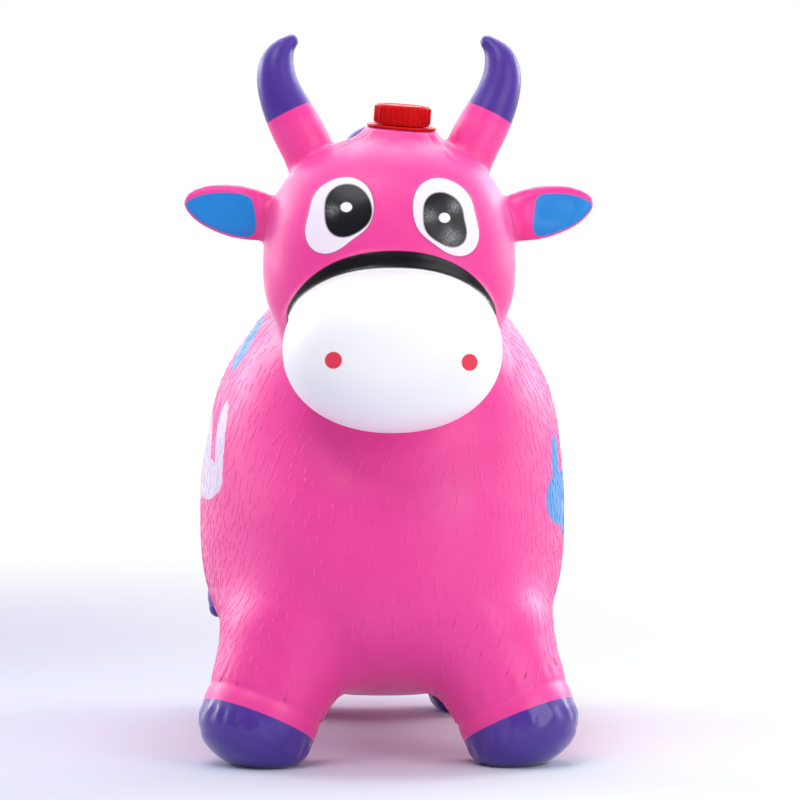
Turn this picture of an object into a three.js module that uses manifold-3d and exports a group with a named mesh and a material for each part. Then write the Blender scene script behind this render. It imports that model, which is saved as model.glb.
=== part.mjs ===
import * as THREE from 'three';
import { mergeVertices } from 'three/addons/utils/BufferGeometryUtils.js';
import Module from 'manifold-3d';

// Inflatable cow hopper: an air-filled moulded skin in zones, with a sound unit in the crown.
// Millimetres, +Z up. The cow faces -Y and its own left side is +X. The floor is Z = 0.

const wasm = await Module();
wasm.setup();

// Fits
const gap = 0.3; // clearance between pieces that touch
const soleFlat = 0.5; // depth of the flat that each sole rests on
const weldDistance = 1e-4;
const overcut = 1; // how far a cutter runs past the face that it opens

// Overall
const overallLength = 550; // muzzle to rump

// Torso: stations run from the chest to the rump
const chestSetBack = 70; // chest behind the front of the muzzle
const torsoLength = overallLength - chestSetBack;
const shoulderHalfWidth = 131.5;
const chestTaper = 16.5; // how much narrower than the shoulder
const rumpTaper = 3.5;
const tailTaper = 17.5;
const chestHalfWidth = shoulderHalfWidth - chestTaper;
const saddleHalfWidth = shoulderHalfWidth;
const rumpHalfWidth = shoulderHalfWidth - rumpTaper;
const tailHalfWidth = shoulderHalfWidth - tailTaper;
const chestTop = 262;
const shoulderTop = 300;
const saddleTop = 286;
const rumpTop = 302;
const tailTop = 282;
const chestBottom = 34;
const bellyFront = 35;
const bellyMiddle = 40;
const bellyRear = 36;
const tailBottom = 62;

// Head
const headHeight = 162;
const headBottom = 268;
const headHalfDepth = 69;
const jawHalfWidth = 90;
const browHalfWidth = 86;
const crownHalfWidth = 84;
const crownSetBack = 6; // crown lies this far behind the jaw

// Muzzle
const muzzleReach = 110; // head centre to the front of the muzzle
const muzzleLength = 120;
const muzzleHalfWidth = 73;
const muzzleHalfHeight = 55;
const muzzleLift = 15; // muzzle centre above the bottom of the head

// Neck
const neckRootSetBack = 103; // neck root behind the head centre
const neckRootDrop = 85; // neck root below the shoulder top
const neckRootHalfWidth = 128;
const neckMiddleHalfWidth = 103;
const neckTopHalfWidth = 40;
const neckRootHalfDepth = 104;
const neckTopHalfDepth = 62;

// Legs and hooves
const hipInset = 65.5; // hip axis inside the widest shoulder
const frontHipInset = 60; // front hip axis behind the chest
const rearHipInset = 125; // rear hip axis ahead of the rump
const rearHipTuck = 8; // rear hip axis inside the front one
const hipHeight = 100;
const footSplay = 33; // sole axis outside the hip axis
const footStride = 20; // sole axis ahead of the front hip, or behind the rear hip
const soleHeight = 8; // sole axis end, before the foot is set down on the floor
const hipRadius = 54;
const kneeRadius = 43.5;
const cuffRadius = 41;
const hoofRadius = 40;
const soleRadius = 39.5;
const hoofHeight = 28; // sole to paint line, along the leg

// Horns
const hornSpread = 54;
const hornRootDrop = 14; // root ball below the crown
const hornRootRadius = 21;
const hornStartOut = 6; // first pull of the curve, outside the root
const hornStartHeight = 24;
const hornBow = 40; // second pull, outside the root
const hornBowHeight = 62;
const hornTipOut = 5; // tip outside the root
const hornHeight = 82;
const hornBaseRadius = 17.5;
const hornMiddleRadius = 15;
const hornUpperRadius = 11.4;
const hornEndRadius = 3.8;
const hornTipLength = 60; // painted part, along the horn

// Ears
const earSpan = 140; // mid-plane to tip
const earRootInset = 18; // root ball inside the brow
const earRootDrop = 59; // root ball below the crown
const earRootRadius = 24;
const earRise = 13.5; // tip above the root
const earHalfHeight = 18;
const earNeckHalfHeight = 15.5;
const earTipHalfHeight = 11;
const earHalfThickness = 8.5;
const earTipHalfThickness = 6;
const earDishDepth = 4;
const earDishHalfLength = 20;
const earDishHalfHeight = 13;
const earDishFromTip = 25; // dish centre, measured from the tip

// Mane tuft on the back of the head
const maneHalfWidth = 33;
const maneHalfDepth = 16;
const maneLength = 89;
const maneRise = 15; // tuft top above the crown
const maneLean = 22; // top of the tuft ahead of its foot
const maneSetBack = 50; // tuft top behind the head centre

// Tail: stations on the torso, as share of its half-length, angle round it and share of the stand-off
const tailRootRadius = 10;
const tailEndRadius = 7;
const tuftRadius = 10.5;
const tuftLength = 40;
const tailStandOff = 5; // centre line of the tail's end outside the torso
const tailStations = [[0.965, 88, 0], [0.9, 45, 0.3], [0.72, 8, 0.6], [0.5, -20, 1]];

// Air plug in the rump
const plugDrop = 20; // plug below the rearmost point of the rump
const plugRecessDepth = 5;
const plugFlangeRadius = 8;
const plugFlangeThickness = 2;
const plugStemRadius = 4;
const plugTipRadius = 3.2;
const plugStemLength = 12;
const plugRibHeight = 0.5;
const plugRibDepths = [4.8, 8.4]; // rib crests below the flange
const plugRibHalfLength = 1.2;

// Sound unit: heights run along its own axis from the underside of the flange
const unitOffset = 8; // towards the cow's left
const unitSetForward = 7;
const unitRise = 5; // flange above the crown
const unitLeanSide = 4; // degrees
const unitLeanForward = 9;
const flangeRadius = 23.8;
const flangeThickness = 2;
const moundRadius = 27;
const moundSkirt = 12;
const cupBore = 14;
const cupWall = 1.6;
const cupDepth = 18;
const neckHeight = 10;
const threadPitch = 3;
const threadDepth = 1;
const threadHalfWidth = 0.6;
const threadTurns = 2;
const threadPlay = 0.5;
const capHeight = 13.5;
const capTopThickness = 1.8;
const capWall = 1.55;
const capRibHeight = 0.6;
const capRibCount = 32;
const capChamfer = 1.2;
const linerThickness = 1.4;

// Inside the unit
const cellRadius = 5.8;
const cellHeight = 5.4;
const cellCount = 3;
const holderWall = 1.9;
const holderFlange = 1.5;
const contactThickness = 0.4;
const contactWidth = 5;
const boardThickness = 1.2;
const postHeight = 4.4;
const postRadius = 2.4;
const partsCircle = 10.9; // board parts and screws stand on this radius
const screwShankRadius = 0.9;
const screwShankLength = 4.4;
const screwHeadRadius = 1.9;
const screwHeadHeight = 1.2;
const screwHeadEdge = 0.7;
const screwAngle = 55; // degrees either side of the rear
const ledRadius = 1.9;
const ledHeight = 5;
const sounderRadius = 7.8;
const sounderThickness = 1;
const springRadius = 1.5;
const springWire = 0.25;
const springTurns = 5;
const springLength = 8;
const pinRadius = 0.4;
const pinLength = 9;

// Finishes
const finish = {
  pink: { color: 0xf0559f, roughness: 0.42, metalness: 0 },
  purple: { color: 0x583aa0, roughness: 0.4, metalness: 0 },
  white: { color: 0xf6f6fb, roughness: 0.4, metalness: 0 },
  red: { color: 0xc8161b, roughness: 0.28, metalness: 0 },
  clearPlug: { color: 0xe8e6ea, roughness: 0.45, metalness: 0 },
  foam: { color: 0xd9d9d6, roughness: 0.9, metalness: 0 },
  ivory: { color: 0xe2ded2, roughness: 0.5, metalness: 0 },
  steel: { color: 0xb9bcc0, roughness: 0.3, metalness: 1 },
  brass: { color: 0xc9a253, roughness: 0.35, metalness: 1 },
  board: { color: 0x1f6b3a, roughness: 0.55, metalness: 0 },
  lens: { color: 0xf3f4f2, roughness: 0.15, metalness: 0 },
};

const cow = new THREE.Group();
const degrees = Math.PI / 180;

// Adds one named piece in its own finish
function addPiece(name, shape, finishName, parent = cow) {
  const material = new THREE.MeshStandardMaterial(finish[finishName]);
  const mesh = new THREE.Mesh(geometryOf(shape), material);
  mesh.name = name;
  parent.add(mesh);
}

// Closed geometry to a solid that can be joined and cut, with its faces outward
function solidOf(geometry) {
  const bare = geometry.clone();
  bare.deleteAttribute('normal');
  bare.deleteAttribute('uv');
  const merged = mergeVertices(bare, weldDistance);
  const points = merged.attributes.position;
  const corners = [0, 1, 2].map(() => new THREE.Vector3());
  const triangles = [];
  let volume = 0;
  for (let i = 0; i < merged.index.count; i += 3) {
    const [a, b, c] = [0, 1, 2].map((k) => merged.index.getX(i + k));
    if (a !== b && b !== c && c !== a) {
      [a, b, c].forEach((vertex, k) => corners[k].fromBufferAttribute(points, vertex));
      volume += corners[0].dot(corners[1].clone().cross(corners[2]));
      triangles.push([a, b, c]);
    }
  }
  const outward = volume > 0 ? triangles : triangles.map(([a, b, c]) => [a, c, b]);
  const mesh = new wasm.Mesh({
    numProp: 3,
    vertProperties: new Float32Array(points.array),
    triVerts: new Uint32Array(outward.flat()),
  });
  return new wasm.Manifold(mesh);
}

function geometryOf(shape) {
  const mesh = shape.getMesh();
  const geometry = new THREE.BufferGeometry();
  geometry.setAttribute('position', new THREE.BufferAttribute(mesh.vertProperties, mesh.numProp));
  geometry.setIndex(new THREE.BufferAttribute(mesh.triVerts, 1));
  geometry.computeVertexNormals();
  return geometry;
}

// The largest lump that is left of a piece when its larger neighbours are cut from it
function cutBy(piece, ...neighbours) {
  const lumps = neighbours.reduce((shape, space) => shape.subtract(space), piece).decompose();
  return lumps.reduce((best, lump) => (lump.volume() > best.volume() ? lump : best));
}

// Smooth values through evenly spaced stations, from one end (-1) to the other (+1)
function profile(...values) {
  const spline = new THREE.SplineCurve(values.map((value, i) => new THREE.Vector2(i, value)));
  return (s) => spline.getPoint((s + 1) / 2).y;
}

function signedPower(value, power) {
  return Math.sign(value) * Math.abs(value) ** power;
}

// A point on a swollen form: sections across the spine are superellipses, and the ends close
// as a superellipsoid's do. grow moves the whole surface outward.
function formPoint(form, s, angle, grow = 0) {
  const t = (s + 1) / 2;
  const along = form.spine.getTangent(t);
  const up = new THREE.Vector3().crossVectors(along, form.across).normalize();
  const side = new THREE.Vector3().crossVectors(up, along).normalize();
  const bluntness = s < 0 ? form.rootBluntness ?? form.bluntness : form.bluntness;
  const open = Math.max(0, 1 - Math.abs(s) ** bluntness) ** (1 / form.fullness);
  const lift = form.lift ? form.lift(s) : 0;
  const u = (form.halfWidth(s) + grow) * open * signedPower(Math.cos(angle), 2 / form.fullness);
  const v = (form.halfHeight(s) + grow) * open * signedPower(Math.sin(angle), 2 / form.fullness);
  return form.spine
    .getPoint(t)
    .addScaledVector(along, grow * s)
    .addScaledVector(side, u)
    .addScaledVector(up, v + lift);
}

function swollen(form, grow = 0) {
  const geometry = new THREE.SphereGeometry(1, form.sides, form.rings);
  const position = geometry.attributes.position;
  for (let i = 0; i < position.count; i += 1) {
    const angle = Math.atan2(position.getZ(i), position.getX(i));
    const point = formPoint(form, position.getY(i), angle, grow);
    position.setXYZ(i, point.x, point.y, point.z);
  }
  return solidOf(geometry);
}

// A ball with its poles on the axis that it turns about, and the socket that clears its corners
const ballFacets = 20;

function ball(centre, radius, axis) {
  const sphere = new THREE.SphereGeometry(radius, ballFacets, ballFacets / 2);
  sphere.applyQuaternion(new THREE.Quaternion().setFromUnitVectors(new THREE.Vector3(0, 1, 0), axis));
  return solidOf(sphere.translate(...centre.toArray()));
}

function socket(centre, radius, axis) {
  return ball(centre, (radius + gap) / Math.cos(Math.PI / ballFacets), axis);
}

// A half-space block whose face lies at a point, on the side that its normal points away from
function blockBehind(point, normal) {
  const size = 2 * overallLength;
  const block = new THREE.BoxGeometry(size, size, size).translate(0, 0, -size / 2);
  const turn = new THREE.Quaternion().setFromUnitVectors(new THREE.Vector3(0, 0, 1), normal);
  return solidOf(block.applyQuaternion(turn).translate(...point.toArray()));
}

// A turned piece: closed outline of [radius, height] pairs, axis along Z
function turned(outline, facets = 24) {
  const points = outline.map(([radius, height]) => new THREE.Vector2(radius, height));
  return solidOf(new THREE.LatheGeometry([...points, points[0]], facets).rotateX(Math.PI / 2));
}

function disc(radius, bottom, thickness, facets = 24) {
  const top = bottom + thickness;
  return turned([[0, bottom], [radius, bottom], [radius, top], [0, top]], facets);
}

const floorBlock = blockBehind(new THREE.Vector3(), new THREE.Vector3(0, 0, 1));
const sides = [['left', 1], ['right', -1]];

// Torso
const rumpY = overallLength / 2;
const chestY = rumpY - torsoLength;
const torsoTop = profile(chestTop, shoulderTop, saddleTop, rumpTop, tailTop);
const torsoBottom = profile(chestBottom, bellyFront, bellyMiddle, bellyRear, tailBottom);
const torsoForm = {
  spine: new THREE.LineCurve3(new THREE.Vector3(0, chestY, 0), new THREE.Vector3(0, rumpY, 0)),
  across: new THREE.Vector3(-1, 0, 0),
  halfWidth: profile(chestHalfWidth, shoulderHalfWidth, saddleHalfWidth, rumpHalfWidth, tailHalfWidth),
  halfHeight: (s) => (torsoTop(s) - torsoBottom(s)) / 2,
  lift: (s) => (torsoTop(s) + torsoBottom(s)) / 2,
  fullness: 2.6,
  rootBluntness: 3.6,
  bluntness: 2.6,
  sides: 28,
  rings: 16,
};
const torsoSpace = swollen(torsoForm, gap);

// Head
const muzzleFrontY = -overallLength / 2;
const headY = muzzleFrontY + muzzleReach;
const headTop = headBottom + headHeight;
const headForm = {
  spine: new THREE.LineCurve3(
    new THREE.Vector3(0, headY - crownSetBack / 2, headBottom),
    new THREE.Vector3(0, headY + crownSetBack / 2, headTop),
  ),
  across: new THREE.Vector3(1, 0, 0),
  halfWidth: profile(jawHalfWidth, browHalfWidth, crownHalfWidth),
  halfHeight: () => headHalfDepth,
  fullness: 2.25,
  bluntness: 2.4,
  sides: 26,
  rings: 14,
};
const headSpace = swollen(headForm, gap);

// Neck, cut by the torso and the head
const neckForm = {
  spine: new THREE.LineCurve3(
    new THREE.Vector3(0, headY + neckRootSetBack, shoulderTop - neckRootDrop),
    new THREE.Vector3(0, headY, headTop - headHeight / 2),
  ),
  across: new THREE.Vector3(1, 0, 0),
  halfWidth: profile(neckRootHalfWidth, neckMiddleHalfWidth, neckTopHalfWidth),
  halfHeight: profile(neckRootHalfDepth, neckTopHalfDepth),
  fullness: 2.2,
  bluntness: 4,
  sides: 24,
  rings: 10,
};
const neckSpace = swollen(neckForm, gap);
addPiece('neck', cutBy(swollen(neckForm), torsoSpace, headSpace), 'pink');

// Muzzle, cut by the head and the neck
const muzzleZ = headBottom + muzzleLift;
const muzzleForm = {
  spine: new THREE.LineCurve3(
    new THREE.Vector3(0, muzzleFrontY, muzzleZ),
    new THREE.Vector3(0, muzzleFrontY + muzzleLength, muzzleZ),
  ),
  across: new THREE.Vector3(-1, 0, 0),
  halfWidth: () => muzzleHalfWidth,
  halfHeight: () => muzzleHalfHeight,
  fullness: 2.12,
  bluntness: 2.2,
  sides: 24,
  rings: 12,
};
addPiece('muzzle', cutBy(swollen(muzzleForm), headSpace, neckSpace, torsoSpace), 'white');

// Mane tuft, cut by the head and the neck
const maneTop = new THREE.Vector3(0, headY + maneSetBack, headTop + maneRise);
const maneFoot = new THREE.Vector3(0, maneTop.y + maneLean, maneTop.z - maneLength);
const maneForm = {
  spine: new THREE.LineCurve3(maneFoot, maneTop),
  across: new THREE.Vector3(1, 0, 0),
  halfWidth: profile(maneHalfWidth / 2, maneHalfWidth, maneHalfWidth),
  halfHeight: () => maneHalfDepth,
  fullness: 2,
  rootBluntness: 2.4,
  bluntness: 4,
  sides: 14,
  rings: 10,
};
addPiece('mane', cutBy(swollen(maneForm), headSpace, neckSpace), 'purple');

// Legs, cut by the torso and the neck, each parted from its hoof at the paint line
const legSpaces = [];
const hipOut = shoulderHalfWidth - hipInset;
const ends = [
  ['front', hipOut, chestY + frontHipInset, -1],
  ['rear', hipOut - rearHipTuck, rumpY - rearHipInset, 1],
];
for (const [endName, hipX, hipY, stepWay] of ends) {
  for (const [sideName, out] of sides) {
    const hip = new THREE.Vector3(out * hipX, hipY, hipHeight);
    const sole = hip.clone().add(new THREE.Vector3(out * footSplay, stepWay * footStride, 0));
    sole.z = soleHeight;
    const legForm = {
      spine: new THREE.LineCurve3(hip, sole),
      across: new THREE.Vector3(1, 0, 0),
      halfWidth: profile(hipRadius, kneeRadius, cuffRadius, hoofRadius, soleRadius),
      halfHeight: profile(hipRadius, kneeRadius, cuffRadius, hoofRadius, soleRadius),
      fullness: 2,
      rootBluntness: 3,
      bluntness: 5,
      sides: 20,
      rings: 14,
    };
    const blank = swollen(legForm);
    const drop = new THREE.Vector3(0, 0, -soleFlat - blank.boundingBox().min[2]);
    const whole = blank.translate(drop.toArray());
    const upLeg = hip.clone().sub(sole).normalize();
    const paintPoint = sole.clone().add(drop).addScaledVector(upLeg, hoofHeight);
    const hoofBlock = blockBehind(paintPoint, upLeg);
    const legBlock = blockBehind(paintPoint.clone().addScaledVector(upLeg, gap), upLeg);
    addPiece(`leg_${endName}_${sideName}`, cutBy(whole, legBlock, torsoSpace, neckSpace), 'pink');
    addPiece(`hoof_${endName}_${sideName}`, whole.intersect(hoofBlock).subtract(floorBlock), 'purple');
    legSpaces.push(swollen(legForm, gap).translate(drop.toArray()));
  }
}

// Tail laid round the rump, with its tuft on the cow's right flank
const tailCurve = new THREE.CatmullRomCurve3(tailStations.map(
  ([s, angle, share]) => formPoint(torsoForm, s, angle * degrees, share * tailStandOff),
));
const tailEnd = tailCurve.getPoint(1);
const tuftEnd = tailEnd.clone().addScaledVector(tailCurve.getTangent(1), tuftLength);
const tailForm = {
  spine: tailCurve,
  across: new THREE.Vector3(0, 1, 0),
  halfWidth: profile(tailRootRadius, tailEndRadius),
  halfHeight: profile(tailRootRadius, tailEndRadius),
  fullness: 2,
  bluntness: 12,
  sides: 10,
  rings: 18,
};
const tuftForm = {
  spine: new THREE.LineCurve3(tailEnd, tuftEnd),
  across: new THREE.Vector3(0, 1, 0),
  halfWidth: profile(tuftRadius, tuftRadius, tailEndRadius),
  halfHeight: profile(tuftRadius, tuftRadius, tailEndRadius),
  fullness: 2,
  bluntness: 2.4,
  sides: 12,
  rings: 8,
};
const tuftSpace = swollen(tuftForm, gap);
addPiece('tail', cutBy(swollen(tailForm), torsoSpace, tuftSpace, ...legSpaces), 'pink');
addPiece('tail_tuft', cutBy(swollen(tuftForm), torsoSpace, ...legSpaces), 'purple');

// Torso with its valve hole, and the air plug
const recessY = rumpY - plugRecessDepth;
const plug = new THREE.Group();
plug.position.set(0, recessY + gap, (tailTop + tailBottom) / 2 - plugDrop);
plug.rotation.x = -Math.PI / 2;
cow.add(plug);
plug.updateMatrix();
const plugOutline = [
  [0, plugFlangeThickness],
  [plugFlangeRadius, plugFlangeThickness],
  [plugFlangeRadius, 0],
  [plugStemRadius, 0],
  ...plugRibDepths.flatMap((depth) => [
    [plugStemRadius, plugRibHalfLength - depth],
    [plugStemRadius + plugRibHeight, -depth],
    [plugStemRadius, -plugRibHalfLength - depth],
  ]),
  [plugTipRadius, -plugStemLength],
  [0, -plugStemLength],
];
addPiece('air_plug', turned(plugOutline, 16), 'clearPlug', plug);
const valveRadius = plugStemRadius + plugRibHeight + gap;
const valveHole = turned([
  [0, -plugStemLength - overcut],
  [valveRadius, -plugStemLength - overcut],
  [valveRadius, -gap],
  [plugFlangeRadius + gap, -gap],
  [plugFlangeRadius + gap, plugRecessDepth + 1],
  [0, plugRecessDepth + 1],
], 24);
addPiece('torso', swollen(torsoForm).subtract(valveHole.transform(plug.matrix.elements)), 'pink');

// Sound unit frame: its axis leaves the crown, leaning to the cow's left and forward
const unit = new THREE.Group();
unit.position.set(unitOffset, headY - unitSetForward, headTop + unitRise);
unit.rotation.set(unitLeanForward * degrees, unitLeanSide * degrees, 0);
cow.add(unit);
unit.updateMatrix();
const cupRadius = cupBore + cupWall;
const moundTop = -gap;
const mound = turned([
  [0, -moundSkirt],
  [moundRadius + moundSkirt / 2, -moundSkirt],
  [moundRadius, -moundSkirt / 3],
  [flangeRadius, moundTop],
  [0, moundTop],
]);
const pocket = disc(cupRadius + gap, -cupDepth - gap, cupDepth + moundSkirt);

// Head with sockets for the horns and ears and the pocket for the unit
let head = swollen(headForm).add(mound.transform(unit.matrix.elements));
head = head.subtract(pocket.transform(unit.matrix.elements));
for (const [sideName, out] of sides) {
  // Horn: a ball root and a spine that bows outward and curls in
  const hornRoot = new THREE.Vector3(out * hornSpread, headY, headTop - hornRootDrop);
  const hornForm = {
    spine: new THREE.CubicBezierCurve3(
      hornRoot,
      hornRoot.clone().add(new THREE.Vector3(out * hornStartOut, 0, hornStartHeight)),
      hornRoot.clone().add(new THREE.Vector3(out * hornBow, 0, hornBowHeight)),
      hornRoot.clone().add(new THREE.Vector3(out * hornTipOut, 0, hornHeight)),
    ),
    across: new THREE.Vector3(0, 1, 0),
    halfWidth: profile(hornBaseRadius, hornBaseRadius, hornMiddleRadius, hornUpperRadius, hornEndRadius),
    halfHeight: profile(hornBaseRadius, hornBaseRadius, hornMiddleRadius, hornUpperRadius, hornEndRadius),
    fullness: 2,
    bluntness: 9,
    sides: 12,
    rings: 14,
  };
  const paintAt = 1 - hornTipLength / hornForm.spine.getLength();
  const paintPoint = hornForm.spine.getPointAt(paintAt);
  const paintWay = hornForm.spine.getTangentAt(paintAt);
  const horn = swollen(hornForm);
  const lowerBlock = blockBehind(paintPoint, paintWay);
  const tipBlock = blockBehind(paintPoint.clone().addScaledVector(paintWay, gap), paintWay);
  const hornAxis = new THREE.Vector3(1, 0, 0);
  const hornBall = ball(hornRoot, hornRootRadius, hornAxis);
  addPiece(`horn_${sideName}`, horn.intersect(lowerBlock).add(hornBall), 'pink');
  addPiece(`horn_tip_${sideName}`, horn.subtract(tipBlock), 'purple');
  head = head.subtract(socket(hornRoot, hornRootRadius, hornAxis));

  // Ear: a ball root and a dished leaf
  const earRoot = new THREE.Vector3(out * (browHalfWidth - earRootInset), headY, headTop - earRootDrop);
  const earTip = new THREE.Vector3(out * earSpan, headY, earRoot.z + earRise);
  const earForm = {
    spine: new THREE.LineCurve3(earRoot, earTip),
    across: new THREE.Vector3(0, 1, 0),
    halfWidth: profile(earHalfThickness, earHalfThickness, earTipHalfThickness),
    halfHeight: profile(
      earNeckHalfHeight, earNeckHalfHeight, earHalfHeight, earHalfHeight, earTipHalfHeight,
    ),
    fullness: 2,
    bluntness: 4,
    sides: 14,
    rings: 10,
  };
  const leafWay = earTip.clone().sub(earRoot).normalize();
  const dishCentre = earTip.clone().addScaledVector(leafWay, -earDishFromTip);
  const dish = new THREE.SphereGeometry(1, 12, 8);
  dish.scale(earDishHalfLength, earDishDepth, earDishHalfHeight);
  dish.rotateY(-Math.atan2(leafWay.z, leafWay.x));
  dish.translate(dishCentre.x, dishCentre.y - earHalfThickness, dishCentre.z);
  const earAxis = new THREE.Vector3(0, 0, 1);
  const ear = swollen(earForm).subtract(solidOf(dish)).add(ball(earRoot, earRootRadius, earAxis));
  addPiece(`ear_${sideName}`, ear, 'pink');
  head = head.subtract(socket(earRoot, earRootRadius, earAxis));
}
addPiece('head', head, 'pink');

// A helical ridge that fades out at both ends
function threadRidge(radius, bottom, turns) {
  const steps = Math.round(turns * 16);
  const ridge = new THREE.CylinderGeometry(1, 1, 1, 4, steps);
  const position = ridge.attributes.position;
  for (let i = 0; i < position.count; i += 1) {
    const t = position.getY(i) + 0.5;
    const fade = Math.min(1, (0.5 - Math.abs(t - 0.5)) * steps / 2 + 0.2);
    const angle = t * turns * 2 * Math.PI;
    const r = radius + position.getX(i) * threadDepth * fade;
    const z = bottom + t * turns * threadPitch + position.getZ(i) * threadHalfWidth * fade;
    position.setXYZ(i, r * Math.cos(angle), r * Math.sin(angle), z);
  }
  return solidOf(ridge);
}

// Cup with its flange, threaded neck and screw posts
const neckTop = flangeThickness + neckHeight;
const cupFloor = cupWall - cupDepth;
const postTop = cupFloor + postHeight;
const threadStart = flangeThickness + threadPitch;
let cup = turned([
  [0, -cupDepth],
  [cupRadius, -cupDepth],
  [cupRadius, 0],
  [flangeRadius, 0],
  [flangeRadius, flangeThickness],
  [cupRadius, flangeThickness],
  [cupRadius, neckTop],
  [cupBore, neckTop],
  [cupBore, cupFloor],
  [0, cupFloor],
]).add(threadRidge(cupRadius, threadStart, threadTurns));
const screwPlaces = [1, -1].map((way) => {
  const angle = (90 + way * screwAngle) * degrees;
  return [partsCircle * Math.cos(angle), partsCircle * Math.sin(angle)];
});
const shankSpace = screwShankRadius + gap;
for (const [x, y] of screwPlaces) {
  const post = disc(postRadius, cupFloor - cupWall / 2, postHeight + cupWall / 2, 14);
  const hole = disc(shankSpace, postTop - screwShankLength, screwShankLength + overcut, 10);
  cup = cup.add(post.translate([x, y, 0])).subtract(hole.translate([x, y, 0]));
}
addPiece('unit_cup', cup, 'red', unit);

// Screw cap with its grip ribs and thread, and the liner that it presses on the neck
function ribbedRing(rootRadius, tipRadius, count, height) {
  const points = [];
  const step = 2 * Math.PI / count;
  const ribShare = 0.3; // half of a rib, as a share of the rib spacing
  for (let i = 0; i < count; i += 1) {
    for (const [share, radius] of [[-ribShare, rootRadius], [0, tipRadius], [ribShare, rootRadius]]) {
      const angle = (i + share) * step;
      points.push(new THREE.Vector2(radius * Math.cos(angle), radius * Math.sin(angle)));
    }
  }
  const outline = new THREE.Shape(points);
  return solidOf(new THREE.ExtrudeGeometry(outline, { depth: height, bevelEnabled: false }));
}

const capBore = cupRadius + threadDepth + threadPlay;
const capRadius = capBore + capWall;
const capBottom = flangeThickness + gap;
const capTop = capBottom + capHeight;
const capCeiling = capTop - capTopThickness;
const ribBottom = capBottom + capChamfer;
const ribRoot = capRadius - capRibHeight / 3;
const ribHeight = capHeight - 2 * capChamfer;
const ribs = ribbedRing(ribRoot, capRadius + capRibHeight, capRibCount, ribHeight);
const capBlank = turned([
  [0, capBottom],
  [capRadius, capBottom],
  [capRadius, capTop - capChamfer],
  [capRadius - capChamfer, capTop],
  [0, capTop],
]);
const capHollow = disc(capBore, capBottom - overcut, capCeiling - capBottom + overcut);
const capThread = threadRidge(capBore, threadStart + threadPitch / 2, threadTurns - 0.5);
addPiece('screw_cap', capBlank.add(ribs.translate([0, 0, ribBottom])).subtract(capHollow).add(capThread),
  'red', unit);
addPiece('cap_liner', disc(capBore - threadDepth - gap, neckTop + gap, linerThickness), 'foam', unit);

// Sounder on the cup floor, and the board on the posts
addPiece('sounder', disc(sounderRadius, cupFloor + gap, sounderThickness, 24), 'brass', unit);
const boardBottom = postTop + gap;
const boardTop = boardBottom + boardThickness;
let board = disc(cupBore - gap, boardBottom, boardThickness, 32);
for (const [x, y] of screwPlaces) {
  const hole = disc(shankSpace, boardBottom - overcut, boardThickness + 2 * overcut, 10);
  board = board.subtract(hole.translate([x, y, 0]));
}
addPiece('circuit_board', board, 'board', unit);
screwPlaces.forEach(([x, y], i) => {
  const seat = boardTop + gap;
  const screw = turned([
    [0, seat + screwHeadHeight],
    [screwHeadRadius, seat + screwHeadEdge],
    [screwHeadRadius, seat],
    [screwShankRadius, seat],
    [screwShankRadius, postTop - screwShankLength + gap],
    [0, postTop - screwShankLength + gap],
  ], 12);
  addPiece(`board_screw_${i + 1}`, screw.translate([x, y, 0]), 'steel', unit);
});

// Light diodes and the shake switch on the board
for (const [sideName, out] of sides) {
  const foot = boardTop + gap;
  const domeBase = foot + ledHeight - ledRadius;
  const dome = [0, 30, 60, 90].map((angle) => [
    ledRadius * Math.cos(angle * degrees),
    domeBase + ledRadius * Math.sin(angle * degrees),
  ]);
  const led = turned([[0, foot], [ledRadius, foot], ...dome], 12);
  addPiece(`led_${sideName}`, led.translate([out * partsCircle, 0, 0]), 'lens', unit);
}
const springCurve = new THREE.CatmullRomCurve3();
const springSteps = springTurns * 8;
for (let i = 0; i <= springSteps; i += 1) {
  const angle = (i / 8) * 2 * Math.PI;
  const climb = (springLength - 2 * springWire) * (i / springSteps);
  springCurve.points.push(new THREE.Vector3(
    springRadius * Math.cos(angle),
    springRadius * Math.sin(angle),
    climb,
  ));
}
const wireSection = new THREE.Shape().absarc(0, 0, springWire, 0, 2 * Math.PI);
const springCoil = new THREE.ExtrudeGeometry(wireSection, {
  steps: springSteps,
  curveSegments: 3,
  extrudePath: springCurve,
});
springCoil.translate(0, -partsCircle, boardTop + gap + springWire);
addPiece('shake_spring', solidOf(springCoil), 'steel', unit);
const shakePin = disc(pinRadius, boardTop + gap, pinLength, 10);
addPiece('shake_pin', shakePin.translate([0, -partsCircle, 0]), 'steel', unit);

// Battery holder on the board, with its cells between two contact strips
const holderBottom = boardTop + gap;
const cellSpace = cellRadius + gap;
const holderRadius = cellSpace + holderWall;
const stripLowerBottom = holderBottom + holderFlange + gap;
const cellBottom = (i) => stripLowerBottom + contactThickness + gap + i * (cellHeight + gap);
const holderTop = cellBottom(cellCount);
addPiece('battery_holder', turned([
  [0, holderBottom],
  [holderRadius, holderBottom],
  [holderRadius, holderTop - holderFlange],
  [cupBore - gap, holderTop - holderFlange],
  [cupBore - gap, holderTop],
  [cellSpace, holderTop],
  [cellSpace, holderBottom + holderFlange],
  [0, holderBottom + holderFlange],
]), 'ivory', unit);
for (let i = 0; i < cellCount; i += 1) {
  addPiece(`cell_${i + 1}`, disc(cellRadius, cellBottom(i), cellHeight, 24), 'steel', unit);
}
const stripLower = disc(cellRadius - gap, stripLowerBottom, contactThickness, 20);
addPiece('contact_strip_lower', stripLower, 'brass', unit);
const stripLength = 2 * (holderRadius + contactWidth / 2);
const stripOutline = new THREE.Shape();
stripOutline.absarc(stripLength / 2 - contactWidth / 2, 0, contactWidth / 2, -Math.PI / 2, Math.PI / 2);
stripOutline.absarc(contactWidth / 2 - stripLength / 2, 0, contactWidth / 2, Math.PI / 2, 1.5 * Math.PI);
stripOutline.closePath();
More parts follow.
